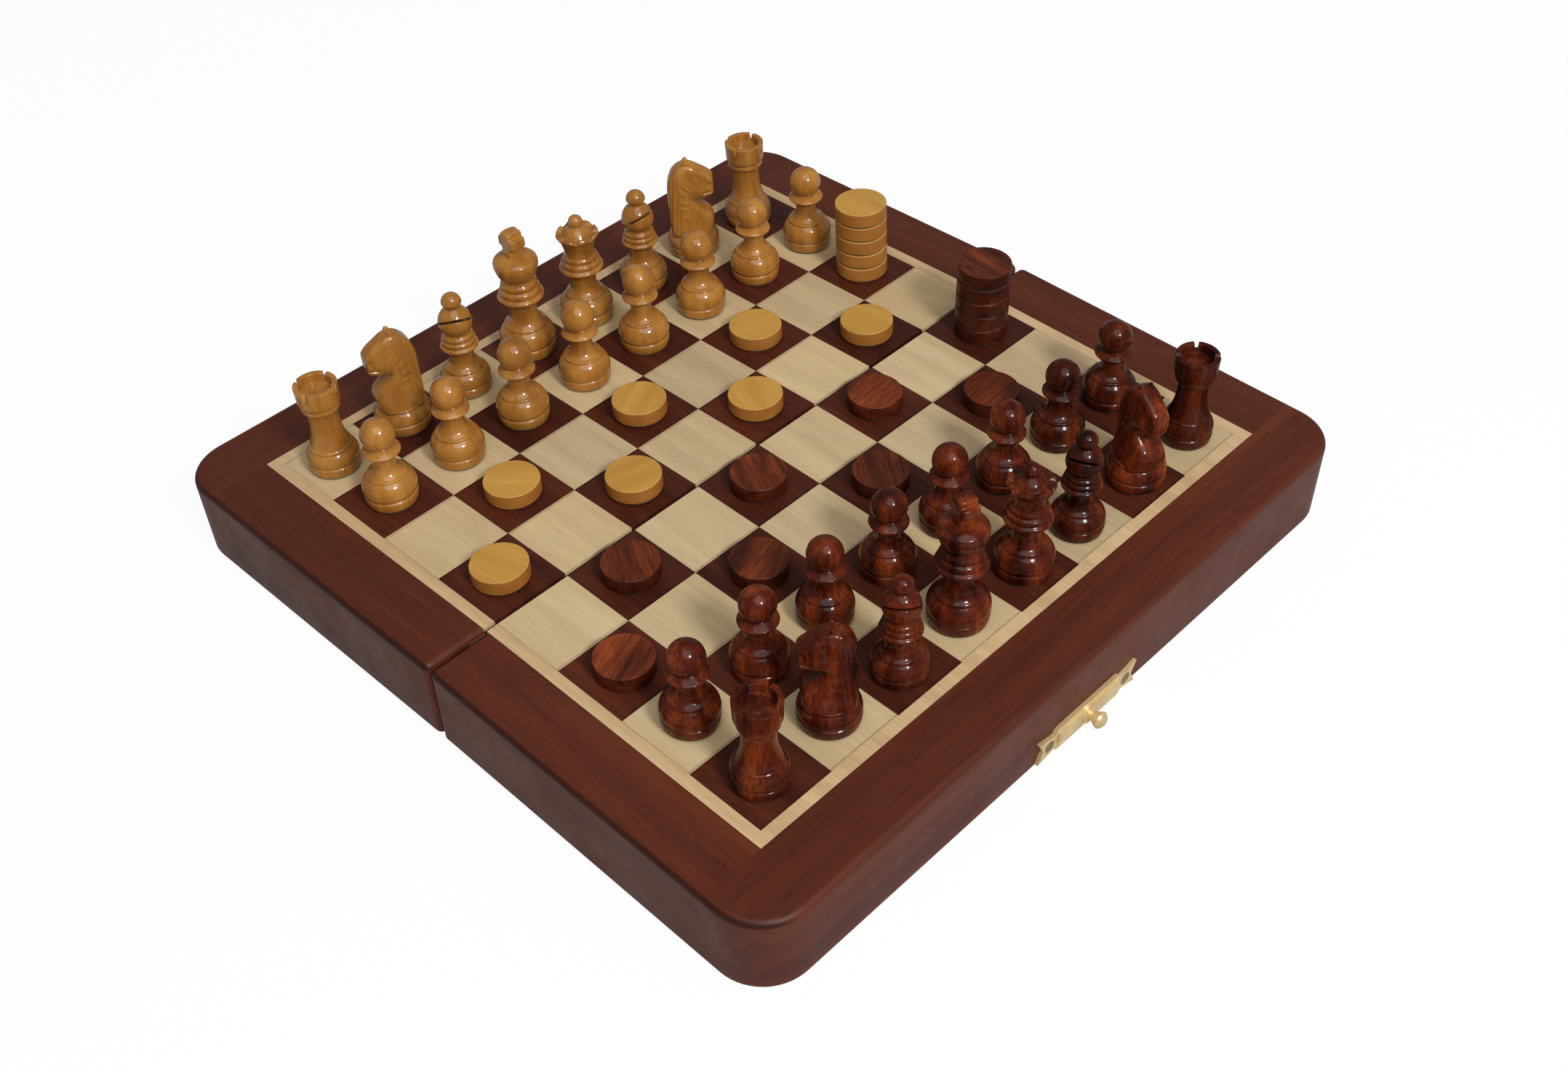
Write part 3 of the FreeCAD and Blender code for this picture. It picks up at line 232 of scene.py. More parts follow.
# First colour times 1 - factor plus second times factor, or another blend of the two.
def mixColours(tree, factor, first, second, blend="MIX"):
    made = addNode(tree, "ShaderNodeMix", data_type="RGBA", blend_type=blend)
    for index, value in ((0, factor), (6, first), (7, second)):
        if isinstance(value, bpy.types.NodeSocket):
            tree.links.new(value, made.inputs[index])
        else:
            made.inputs[index].default_value = value
    return made.outputs[2]


# The value's share of the way from low to high, held between 0 and 1, spread from toLow to toHigh.
def mapRange(tree, value, low, high, toLow=0.0, toHigh=1.0):
    return addNode(tree, "ShaderNodeMapRange", {
        "Value": value, "From Min": low, "From Max": high, "To Min": toLow, "To Max": toHigh,
    }).outputs["Result"]


# One sum, product or other operation on two values.
def maths(tree, operation, first, second=0.0):
    return addNode(tree, "ShaderNodeMath", {0: first, 1: second}, operation=operation).outputs[0]


# An empty node group with named sockets, and its inner ends.
def newGroup(name, inputs, outputs):
    group = bpy.data.node_groups.new(name, "ShaderNodeTree")
    for socketName, kind in inputs:
        group.interface.new_socket(socketName, in_out="INPUT", socket_type=kind)
    for socketName, kind in outputs:
        group.interface.new_socket(socketName, in_out="OUTPUT", socket_type=kind)
    return group, group.nodes.new("NodeGroupInput"), group.nodes.new("NodeGroupOutput")


grainShape = {
    "wanderScale": 0.3, "drift": 0.004,
    "figure": {"scale": 1.0, "detail": 4.0, "roughness": 0.55, "span": (0.3, 0.7)},
    "streaks": {"scale": 7.0, "detail": 2.0, "roughness": 0.5, "span": (0.3, 0.7)},
    "pores": {"scale": 20.0, "detail": 1.0, "roughness": 0.5, "span": (0.6, 0.72)},
}


# Grain along the X of the vector it is given: broad figure, fine streaks, and open pores, each a
# noise drawn out along the grain, which a slow noise makes wander.
def makeGrainGroup():
    group, inside, outside = newGroup(
        "woodGrain",
        [("Vector", "NodeSocketVector"), ("Stretch", "NodeSocketFloat"), ("Scale", "NodeSocketFloat")],
        [("Figure", "NodeSocketFloat"), ("Streaks", "NodeSocketFloat"), ("Pores", "NodeSocketFloat")])
    drawn = addNode(group, "ShaderNodeCombineXYZ", {"X": inside.outputs["Stretch"], "Y": 1.0, "Z": 1.0})
    along = addNode(group, "ShaderNodeVectorMath", {0: inside.outputs["Vector"], 1: drawn.outputs[0]},
                    operation="MULTIPLY")
    wander = addNode(group, "ShaderNodeTexNoise", {
        "Vector": along.outputs[0], "Detail": 1.0,
        "Scale": maths(group, "MULTIPLY", inside.outputs["Scale"], grainShape["wanderScale"])})
    drift = (0.0, grainShape["drift"], grainShape["drift"])  # across the grain only
    shift = addNode(group, "ShaderNodeVectorMath", {
        0: wander.outputs["Color"], 1: drift, 2: along.outputs[0]}, operation="MULTIPLY_ADD")
    for name in ("figure", "streaks", "pores"):
        shape = grainShape[name]
        noise = addNode(group, "ShaderNodeTexNoise", {
            "Vector": shift.outputs[0], "Detail": shape["detail"], "Roughness": shape["roughness"],
            "Scale": maths(group, "MULTIPLY", inside.outputs["Scale"], shape["scale"])})
        band = mapRange(group, noise.outputs["Fac"], *shape["span"])
        group.links.new(band, outside.inputs[name.capitalize()])
    return group


squareJoint = (0.489, 0.497)  # where the line between squares starts and is full, in squares from the middle


# A random tone for each cell of a square grid, and a line where two cells meet: the vector over
# the cell size is cut to its whole part for the tone and to its remainder for the line.
def makeCellGroup():
    group, inside, outside = newGroup(
        "squareTone", [("Vector", "NodeSocketVector"), ("Cell", "NodeSocketFloat")],
        [("Tone", "NodeSocketFloat"), ("Warmth", "NodeSocketFloat"), ("Joint", "NodeSocketFloat")])
    size = addNode(group, "ShaderNodeCombineXYZ", {
        "X": inside.outputs["Cell"], "Y": inside.outputs["Cell"], "Z": 1.0})
    cells = addNode(group, "ShaderNodeVectorMath", {0: inside.outputs["Vector"], 1: size.outputs[0]},
                    operation="DIVIDE").outputs[0]
    whole = addNode(group, "ShaderNodeVectorMath", {0: cells}, operation="FLOOR").outputs[0]
    noise = addNode(group, "ShaderNodeTexWhiteNoise", {"Vector": whole}, noise_dimensions="2D")
    split = addNode(group, "ShaderNodeSeparateColor", {"Color": noise.outputs["Color"]})
    rest = addNode(group, "ShaderNodeVectorMath", {0: cells}, operation="FRACTION").outputs[0]
    offMiddle = addNode(group, "ShaderNodeVectorMath", {0: rest, 1: (0.5, 0.5, 0.0)},
                        operation="SUBTRACT").outputs[0]
    distance = addNode(group, "ShaderNodeVectorMath", {0: offMiddle}, operation="ABSOLUTE").outputs[0]
    sides = addNode(group, "ShaderNodeSeparateXYZ", {0: distance})
    edge = maths(group, "MAXIMUM", sides.outputs["X"], sides.outputs["Y"])
    group.links.new(split.outputs["Red"], outside.inputs["Tone"])
    group.links.new(split.outputs["Green"], outside.inputs["Warmth"])
    group.links.new(mapRange(group, edge, *squareJoint), outside.inputs["Joint"])
    return group


smudgeShape = {"scale": 85.0, "detail": 3.0, "roughness": 0.6, "span": (0.35, 0.68)}


# Smudges of handling: soft patches of a noise, from its low to its high span.
def makeHandlingGroup():
    group, inside, outside = newGroup(
        "handling", [("Vector", "NodeSocketVector")], [("Smudge", "NodeSocketFloat")])
    patches = addNode(group, "ShaderNodeTexNoise", {
        "Vector": inside.outputs["Vector"], "Scale": smudgeShape["scale"],
        "Detail": smudgeShape["detail"], "Roughness": smudgeShape["roughness"]})
    smudge = mapRange(group, patches.outputs["Fac"], *smudgeShape["span"])
    group.links.new(smudge, outside.inputs["Smudge"])
    return group


grainGroup = makeGrainGroup()
cellGroup = makeCellGroup()
handlingGroup = makeHandlingGroup()

grainTurns = {"x": (0, 0, 0), "y": (0, 0, math.pi / 2), "z": (0, math.pi / 2, 0)}


woodShape = {
    "streakLift": 0.6,  # streaks lighten less than they darken
    "streakHeight": 0.5, "bumpDepth": 0.0001,
    "discTurn": 3.1,  # radians over which the discs' grain is spread
    # spans of the surface's direction that mask the painted shade on rounded edges facing left or right
    "edgeShadeSide": (0.15, 0.5), "edgeShadeRise": (0.08, 0.3), "edgeShadeFall": (0.8, 0.97),  # parts of the direction
    # the first span on the next line masks the painted shade on the turned sides of discs
    "sideShadeSlope": (0.35, 0.8), "specular": 0.3,
}


# Size of one part of the surface's direction, X, Y or Z, in the piece's own frame.
def facingPart(tree, axis):
    normal = addNode(tree, "ShaderNodeTexCoord").outputs["Normal"]
    return maths(tree, "ABSOLUTE", addNode(tree, "ShaderNodeSeparateXYZ", {0: normal}).outputs[axis])


# Lacquered wood: a colour ramp over the broad figure, darkened by streaks and pores, shaded from
# square to square, with lacquer over it that smudges dull.
def woodMaterial(name, look):
    material = bpy.data.materials.new(name)
    material.use_nodes = True
    tree = material.node_tree
    shader = tree.nodes["Principled BSDF"]
    place = addNode(tree, "ShaderNodeTexCoord").outputs["Object"]
    cell = addNode(tree, "ShaderNodeGroup", node_tree=cellGroup)
    tree.links.new(place, cell.inputs["Vector"])
    cell.inputs["Cell"].default_value = board["square"] * mm
    turned = addNode(tree, "ShaderNodeMapping", {
        "Vector": place, "Rotation": grainTurns[look["grain"]]}).outputs[0]
    if look.get("spin"):  # each square's disc has its grain at another angle
        turned = addNode(tree, "ShaderNodeVectorRotate", {
            "Vector": place, "Angle": mapRange(tree, cell.outputs["Warmth"], 0, 1, 0, woodShape["discTurn"])},
            rotation_type="Z_AXIS").outputs[0]
    grain = addNode(tree, "ShaderNodeGroup", node_tree=grainGroup)
    tree.links.new(turned, grain.inputs["Vector"])
    grain.inputs["Stretch"].default_value = look["stretch"]
    grain.inputs["Scale"].default_value = look["scale"]
    ramp = addNode(tree, "ShaderNodeValToRGB", {"Fac": grain.outputs["Figure"]})
    ramp.color_ramp.elements[0].color = (*look["dark"], 1)
    ramp.color_ramp.elements[1].color = (*look["pale"], 1)
    middle = ramp.color_ramp.elements.new(0.5)
    middle.color = (*look["middle"], 1)
    colour = ramp.outputs["Color"]
    streakShade = mapRange(tree, grain.outputs["Streaks"], 0, 1,
                           1 - look["streaks"], 1 + look["streaks"] * woodShape["streakLift"])
    poreShade = mapRange(tree, grain.outputs["Pores"], 0, 1, 1, 1 - look["pores"])
    toneShade = mapRange(tree, cell.outputs["Tone"], 0, 1, 1 - look["tone"], 1 + look["tone"])
    shade = maths(tree, "MULTIPLY", maths(tree, "MULTIPLY", streakShade, poreShade), toneShade)
    if look.get("joint"):
        jointShade = mapRange(tree, cell.outputs["Joint"], 0, 1, 1, 1 - look["joint"])
        shade = maths(tree, "MULTIPLY", shade, jointShade)
    if look.get("cut"):  # painted shade darkens the inside of a saw cut
        slitShadeMask = addNode(tree, "ShaderNodeAttribute", attribute_name="slitShadeMask").outputs["Fac"]
        shade = maths(tree, "MULTIPLY", shade, mapRange(tree, slitShadeMask, 0, 1, 1, 1 - look["cut"]))
    if look.get("edge"):  # painted shade where a top rounds over into a left or right side
        slope = facingPart(tree, "Z")
        sideways = mapRange(tree, facingPart(tree, "X"), *woodShape["edgeShadeSide"])
        rounded = maths(tree, "MULTIPLY", mapRange(tree, slope, *woodShape["edgeShadeRise"]),
                        mapRange(tree, slope, *woodShape["edgeShadeFall"], 1, 0))
        paintedEdgeShade = maths(tree, "MULTIPLY", rounded, sideways)
        shade = maths(tree, "MULTIPLY", shade, mapRange(tree, paintedEdgeShade, 0, 1, 1, 1 - look["edge"]))
    grey = addNode(tree, "ShaderNodeCombineColor", {0: shade, 1: shade, 2: shade}).outputs[0]
    colour = mixColours(tree, 1.0, colour, grey, "MULTIPLY")
    if look.get("rim"):  # painted shade: the turned edge of a disc is darker than its faces
        sideShadeShare = mapRange(tree, facingPart(tree, "Z"), *woodShape["sideShadeSlope"], 1.0, 0.0)
        colour = mixColours(tree, sideShadeShare, colour, (*look["rim"], 1), "MULTIPLY")
    if look.get("warm"):
        colour = mixColours(tree, maths(tree, "MULTIPLY", cell.outputs["Warmth"], look["warm"][0]), colour,
                            (*look["warm"][1], 1), "MULTIPLY")
    handling = addNode(tree, "ShaderNodeGroup", node_tree=handlingGroup)
    tree.links.new(place, handling.inputs["Vector"])
    low, high = look["roughness"]
    rough = mapRange(tree, handling.outputs["Smudge"], 0, 1, low, high)
    height = maths(tree, "ADD", maths(tree, "MULTIPLY", grain.outputs["Pores"], -1.0),
                   maths(tree, "MULTIPLY", grain.outputs["Streaks"], woodShape["streakHeight"]))
    bump = addNode(tree, "ShaderNodeBump", {
        "Height": height, "Strength": look["bump"], "Distance": woodShape["bumpDepth"]})
    tree.links.new(colour, shader.inputs["Base Color"])
    tree.links.new(rough, shader.inputs["Roughness"])
    tree.links.new(bump.outputs["Normal"], shader.inputs["Normal"])
    shader.inputs["Specular IOR Level"].default_value = look.get("specular", woodShape["specular"])
    shader.inputs["Coat Weight"].default_value = look["coat"]
    shader.inputs["Coat Roughness"].default_value = look["coatRoughness"]
    return material


frameLook = {
    "grain": "x", "stretch": 0.06, "scale": 130.0,
    "dark": (0.066, 0.0135, 0.006), "middle": (0.090, 0.0185, 0.0078), "pale": (0.114, 0.0255, 0.0098),
    # edge sets how dark the painted shade is on rounded edges facing left or right
    "streaks": 0.13, "pores": 0.26, "tone": 0.0, "edge": 0.6,
    "roughness": (0.36, 0.5), "bump": 0.15, "coat": 0.05, "coatRoughness": 0.3, "specular": 0.2,
}
darkVeneerLook = {
    "grain": "y", "stretch": 0.08, "scale": 170.0,
    "dark": (0.040, 0.008, 0.004), "middle": (0.062, 0.012, 0.005), "pale": (0.088, 0.018, 0.007),
    "streaks": 0.22, "pores": 0.40, "tone": 0.28, "joint": 0.55,
    "roughness": (0.4, 0.54), "bump": 0.15, "coat": 0.03, "coatRoughness": 0.3, "specular": 0.18,
}
paleVeneerLook = {
    "grain": "y", "stretch": 0.07, "scale": 210.0,
    "dark": (0.47, 0.345, 0.195), "middle": (0.525, 0.392, 0.225), "pale": (0.575, 0.44, 0.26),
    "streaks": 0.06, "pores": 0.07, "tone": 0.09, "joint": 0.45, "warm": (0.7, (1.0, 0.97, 0.86)),
    "roughness": (0.38, 0.52), "bump": 0.10, "coat": 0.08, "coatRoughness": 0.3,
}
stringingLook = {
    "grain": "y", "stretch": 0.06, "scale": 260.0,
    "dark": (0.48, 0.315, 0.165), "middle": (0.56, 0.385, 0.205), "pale": (0.62, 0.44, 0.25),
    "streaks": 0.10, "pores": 0.10, "tone": 0.03,
    "roughness": (0.38, 0.5), "bump": 0.08, "coat": 0.08, "coatRoughness": 0.3,
}
lightMenLook = {
    "grain": "z", "stretch": 0.10, "scale": 260.0,
    "dark": (0.26, 0.091, 0.013), "middle": (0.35, 0.144, 0.023), "pale": (0.44, 0.202, 0.038),
    # the next line ends with how dark the painted shade inside a bishop's slit is
    "streaks": 0.08, "pores": 0.10, "tone": 0.10, "cut": 0.85,
    "roughness": (0.3, 0.4), "bump": 0.05, "coat": 0.8, "coatRoughness": 0.05, "specular": 0.1,
}
darkMenLook = {
    "grain": "z", "stretch": 0.16, "scale": 240.0,
    "dark": (0.017, 0.002, 0.001), "middle": (0.074, 0.010, 0.003), "pale": (0.180, 0.032, 0.007),
    # the next line ends with how dark the painted shade inside a bishop's slit is
    "streaks": 0.40, "pores": 0.35, "tone": 0.35, "cut": 0.85,
    "roughness": (0.3, 0.42), "bump": 0.05, "coat": 0.3, "coatRoughness": 0.05, "specular": 0.05,
}
lightCheckerLook = {
    "grain": "x", "spin": True, "stretch": 0.08, "scale": 230.0,
    "dark": (0.45, 0.225, 0.040), "middle": (0.50, 0.262, 0.050), "pale": (0.56, 0.31, 0.066),
    # rim is the colour that multiplies a disc's turned side as painted shade
    "streaks": 0.05, "pores": 0.06, "tone": 0.05, "rim": (0.68, 0.5, 0.46),
    "roughness": (0.38, 0.5), "bump": 0.08, "coat": 0.1, "coatRoughness": 0.25,
}
darkCheckerLook = {
    "grain": "x", "spin": True, "stretch": 0.10, "scale": 230.0,
    "dark": (0.046, 0.009, 0.004), "middle": (0.130, 0.024, 0.007), "pale": (0.225, 0.044, 0.011),
    # rim is the colour that multiplies a disc's turned side as painted shade
    "streaks": 0.42, "pores": 0.55, "tone": 0.36, "rim": (0.5, 0.36, 0.42),
    "roughness": (0.36, 0.5), "bump": 0.3, "coat": 0.05, "coatRoughness": 0.25, "specular": 0.18,
}
plyLook = {
    "grain": "x", "stretch": 0.05, "scale": 180.0,
    "dark": (0.10, 0.05, 0.025), "middle": (0.14, 0.075, 0.038), "pale": (0.18, 0.10, 0.055),
    "streaks": 0.12, "pores": 0.2, "tone": 0.0,
    "roughness": (0.6, 0.72), "bump": 0.2, "coat": 0.0, "coatRoughness": 0.3,
}

metalLooks = {
    "brass": {
        "clean": (0.80, 0.62, 0.33), "dull": (0.60, 0.44, 0.21), "roughness": (0.3, 0.46), "scale": 260.0,
        "metal": 0.55,
    },
    # darker brass for the screw heads
    "darkScrewBrass": {
        "clean": (0.36, 0.26, 0.11), "dull": (0.20, 0.14, 0.06), "roughness": (0.34, 0.5), "scale": 320.0,
        "metal": 0.75,
    },
    "sheetSteel": {
        "clean": (0.30, 0.30, 0.31), "dull": (0.18, 0.18, 0.19), "roughness": (0.35, 0.5), "scale": 140.0,
        "metal": 1.0,
    },
}


metalShape = {"detail": 4.0, "roughness": 0.6, "wearSpan": (0.42, 0.7), "dullSpan": (0.35, 0.7)}


# Metal: clean and dull colour mixed by a patchy noise, which also sets the roughness.
def metalMaterial(name, look):
    material = bpy.data.materials.new(name)
    material.use_nodes = True
    tree = material.node_tree
    shader = tree.nodes["Principled BSDF"]
    place = addNode(tree, "ShaderNodeTexCoord").outputs["Object"]
    noise = addNode(tree, "ShaderNodeTexNoise", {
        "Vector": place, "Scale": look["scale"], "Detail": metalShape["detail"],
        "Roughness": metalShape["roughness"]}).outputs["Fac"]
    wear = mapRange(tree, noise, *metalShape["wearSpan"])
    colour = mixColours(tree, wear, (*look["clean"], 1), (*look["dull"], 1))
    tree.links.new(colour, shader.inputs["Base Color"])
    rough = mapRange(tree, noise, *metalShape["dullSpan"], *look["roughness"])
    tree.links.new(rough, shader.inputs["Roughness"])
    shader.inputs["Metallic"].default_value = look["metal"]
    return material


feltLook = {
    "dark": (0.010, 0.042, 0.020), "pale": (0.030, 0.095, 0.050), "scale": 1500.0, "span": (0.35, 0.65),
    "bump": 0.5, "bumpDepth": 0.0003, "roughness": 0.95, "sheen": 0.3,
}


# Felt: two greens mixed by a fine fuzz that also roughens the surface.
def feltMaterial(name, look):
    material = bpy.data.materials.new(name)
    material.use_nodes = True
    tree = material.node_tree
    shader = tree.nodes["Principled BSDF"]
    place = addNode(tree, "ShaderNodeTexCoord").outputs["Object"]
    fuzz = addNode(tree, "ShaderNodeTexNoise", {
        "Vector": place, "Scale": look["scale"], "Detail": 4.0, "Roughness": 0.7}).outputs["Fac"]
    colour = mixColours(tree, mapRange(tree, fuzz, *look["span"]), (*look["dark"], 1), (*look["pale"], 1))
    tree.links.new(colour, shader.inputs["Base Color"])
    bump = addNode(tree, "ShaderNodeBump", {
        "Height": fuzz, "Strength": look["bump"], "Distance": look["bumpDepth"]})
    tree.links.new(bump.outputs["Normal"], shader.inputs["Normal"])
    shader.inputs["Roughness"].default_value = look["roughness"]
    shader.inputs["Sheen Weight"].default_value = look["sheen"]
    return material


railAlong = woodMaterial("railAlongSeam", frameLook)
railAcross = woodMaterial("railAcross", dict(frameLook, grain="y"))
darkVeneer = woodMaterial("darkVeneer", darkVeneerLook)
paleVeneer = woodMaterial("paleVeneer", paleVeneerLook)
stringingWood = woodMaterial("stringingWood", stringingLook)
boxwood = woodMaterial("boxwoodMen", lightMenLook)
stainedMen = woodMaterial("stainedMen", darkMenLook)
boxwoodDisc = woodMaterial("boxwoodDisc", lightCheckerLook)
stainedDisc = woodMaterial("stainedDisc", darkCheckerLook)
plyPanel = woodMaterial("plyPanel", plyLook)
brass = metalMaterial("brass", metalLooks["brass"])
darkScrewBrass = metalMaterial("darkScrewBrass", metalLooks["darkScrewBrass"])
sheetSteel = metalMaterial("sheetSteel", metalLooks["sheetSteel"])
greenFelt = feltMaterial("greenFelt", feltLook)
print("materials made:", len(bpy.data.materials))

# Finish of the CAD nodes that stay as they are
nodeFinish = {
    "long_rail": railAlong, "side_rails": railAcross, "spine_rail": railAlong, "panel": plyPanel,
    "steel_sheet": sheetSteel, "dark_squares": darkVeneer, "pale_squares": paleVeneer,
    "stringing": stringingWood, "felt_lining": greenFelt, "hinge": brass, "screws": darkScrewBrass, "clasp": brass,
}
for nodeName, node in frame["nodes"].items():
    finish = next((m for key, m in nodeFinish.items() if key in nodeName), None)
    if finish:
        node.data.materials.clear()
        node.data.materials.append(finish)

# Turned men: radius (None keeps the last one), rise, bulge of the stretch that leads there
menShapes = {
    "pawn": [
        (5.45, 0, 0), (5.7, 2.1, 0.1), (5.35, 0.25, 0), (5.75, 0.35, 0), (4.3, 3.8, 0.6), (4.0, 0.55, 0.2),
        (2.4, 2.35, -0.4), (2.7, 2.6, -0.1), (3.9, 0.45, 0), (3.85, 0.6, 0.2), (2.4, 0.85, 0),
        (0, 6.45, "dome"),
    ],
    "rook": [
        (5.4, 0, 0), (5.65, 2.1, 0.1), (5.3, 0.25, 0), (5.65, 0.35, 0), (4.6, 2.8, 0.35), (4.35, 0.6, 0.2),
        (3.25, 6, -0.3), (3.45, 2.9, -0.1), (3.95, 0.4, 0), (None, 0.9, 0.15), (3.75, 0.3, 0), (4.5, 0.6, 0),
        (4.65, 4.2, 0), (3.5, 0, 0), (3.4, -2, 0), (0, 0, 0),
    ],
    "bishop": [
        (5.4, 0, 0), (5.65, 2.1, 0.1), (5.3, 0.25, 0), (5.65, 0.35, 0), (4.2, 2.9, 0.45), (3.9, 0.6, 0.2),
        (2.75, 2.1, -0.3), (3.0, 2.4, -0.1), (4.1, 0.6, 0), (4.05, 0.7, 0.2), (3.6, 0.25, 0), (3.8, 0.6, 0.1),
        (3.6, 0.5, 0.12), (3.3, 0.25, 0), (3.5, 0.5, 0.1), (3.2, 0.5, 0.12), (2.8, 0.8, -0.1),
        (3.75, 2.5, 0.35), (1.55, 3.4, 0.5), (2.25, 1.2, -0.15), (0, 2.4, "dome"),
    ],
    "queen": [
        (5.9, 0, 0), (6.15, 2.2, 0.1), (5.8, 0.25, 0), (6.15, 0.35, 0), (4.5, 3.6, 0.6), (4.2, 0.6, 0.2),
        (2.95, 2.1, -0.35), (3.4, 3.5, -0.15), (4.95, 0.7, 0), (4.85, 0.8, 0.2), (4.35, 0.3, 0),
        (4.5, 0.7, 0.1), (4.2, 0.5, 0.12), (3.75, 0.25, 0), (3.9, 0.6, 0.1), (3.6, 0.5, 0.12),
        (3.45, 0.95, -0.1), (3.8, 1.8, -0.12), (4.95, 2.5, -0.25), (4.6, 0.7, 0), (3.3, -0.6, 0),
        (1.25, 1.95, 0.3), (0, 2.75, "dome"),
    ],
    "king": [
        (6.0, 0, 0), (6.3, 2.3, 0.1), (5.95, 0.25, 0), (6.3, 0.35, 0), (4.8, 3.9, 0.6), (4.5, 0.7, 0.2),
        (3.1, 2.9, -0.4), (3.5, 3.2, -0.15), (5.15, 0.7, 0), (5.05, 0.85, 0.2), (4.5, 0.3, 0),
        (4.65, 0.8, 0.12), (4.35, 0.6, 0.12), (3.95, 0.25, 0), (4.15, 0.8, 0.1), (3.85, 0.6, 0.12),
        (3.45, 1, -0.1), (4.75, 2.3, 0.3), (5.0, 1.1, 0.1), (4.8, 1.2, 0.12), (2.2, 1.1, 0.22), (0, 0, 0),
    ],
    "knight": [
        (5.9, 0, 0), (6.2, 2.2, 0.1), (5.85, 0.25, 0), (6.2, 0.35, 0), (5.1, 2.7, 0.35), (4.85, 0.6, 0.2),
        (0, 0, 0),
    ],
    "checker": [
        (5.93, 0, 0), (6.05, 0.12, 0), (None, 3.11, 0), (5.93, 0.12, 0), (0, 0, 0),
    ],
}
turning = {"lacquer": 0.085, "rows": 96, "columns": 72, "fine": 1600}

outlines = {kind: turnedOutline(stations, turning["lacquer"], turning["rows"])
            for kind, stations in menShapes.items()}


# A man that is only turned: its outline once round the axis.
def plainMan(kind):
    return [spun(outlines[kind], evenAngles(turning["columns"]))]


rookLook = {
    "slots": 4, "slotWidth": 0.9, "slotDepth": 1.6, "edge": 0.05, "cupFrom": 0.6,
    "besideEdge": 3, "clearOfEdge": 6, "columnsBetween": 15,
}


# Rook: the spun outline with extra columns at both edges of every slot; between them whatever is
# higher than the slot's floor comes down to it.
def rookMan(kind):
    outline = outlines[kind]
    top = outline[:, 1].max()
    rim = outline[outline[:, 1] > top - rookLook["slotDepth"], 0].mean()
    half = rookLook["slotWidth"] / 2 / rim
    edge = rookLook["edge"] / rim
    pitch = 2 * math.pi / rookLook["slots"]
    beside, clear = rookLook["besideEdge"] * edge, rookLook["clearOfEdge"] * edge
    near = np.array([-half - beside, -half - edge, -half + edge, -half / 2, 0, half / 2,
                     half - edge, half + edge, half + beside])
    wide = np.linspace(half + clear, pitch - half - clear, rookLook["columnsBetween"])
    angles = np.concatenate([np.r_[near, wide] + pitch * k for k in range(rookLook["slots"])])
    grid = spun(outline, angles)
    inSlot = np.abs((angles + pitch / 2) % pitch - pitch / 2) < half
    floor = np.where(inSlot, top - rookLook["slotDepth"], np.inf)
    inCup = outline[:, :1] > rookLook["cupFrom"] * rim
    grid[..., 2] = np.where(inCup, np.minimum(grid[..., 2], floor), grid[..., 2])
    return [grid]


bishopLook = {
    "slitHeight": 19.9, "slitSlope": 0.6, "slitWidth": 0.6, "slitEnd": 0.3, "headFrom": 15.3, "headTo": 21.2,
    # the last two entries on the next line set the painted shade in the slit: the depth at which it is full,
    # and its share on the lips
    "mitreFrom": 16, "rows": 13, "crowd": 0.8, "leastCosine": 0.02, "slitShadeDepth": 0.3, "lipShadeShare": 0.45,
}
cutShares = {}  # share of painted shade at each point of a kind, by how far it lies in a saw cut


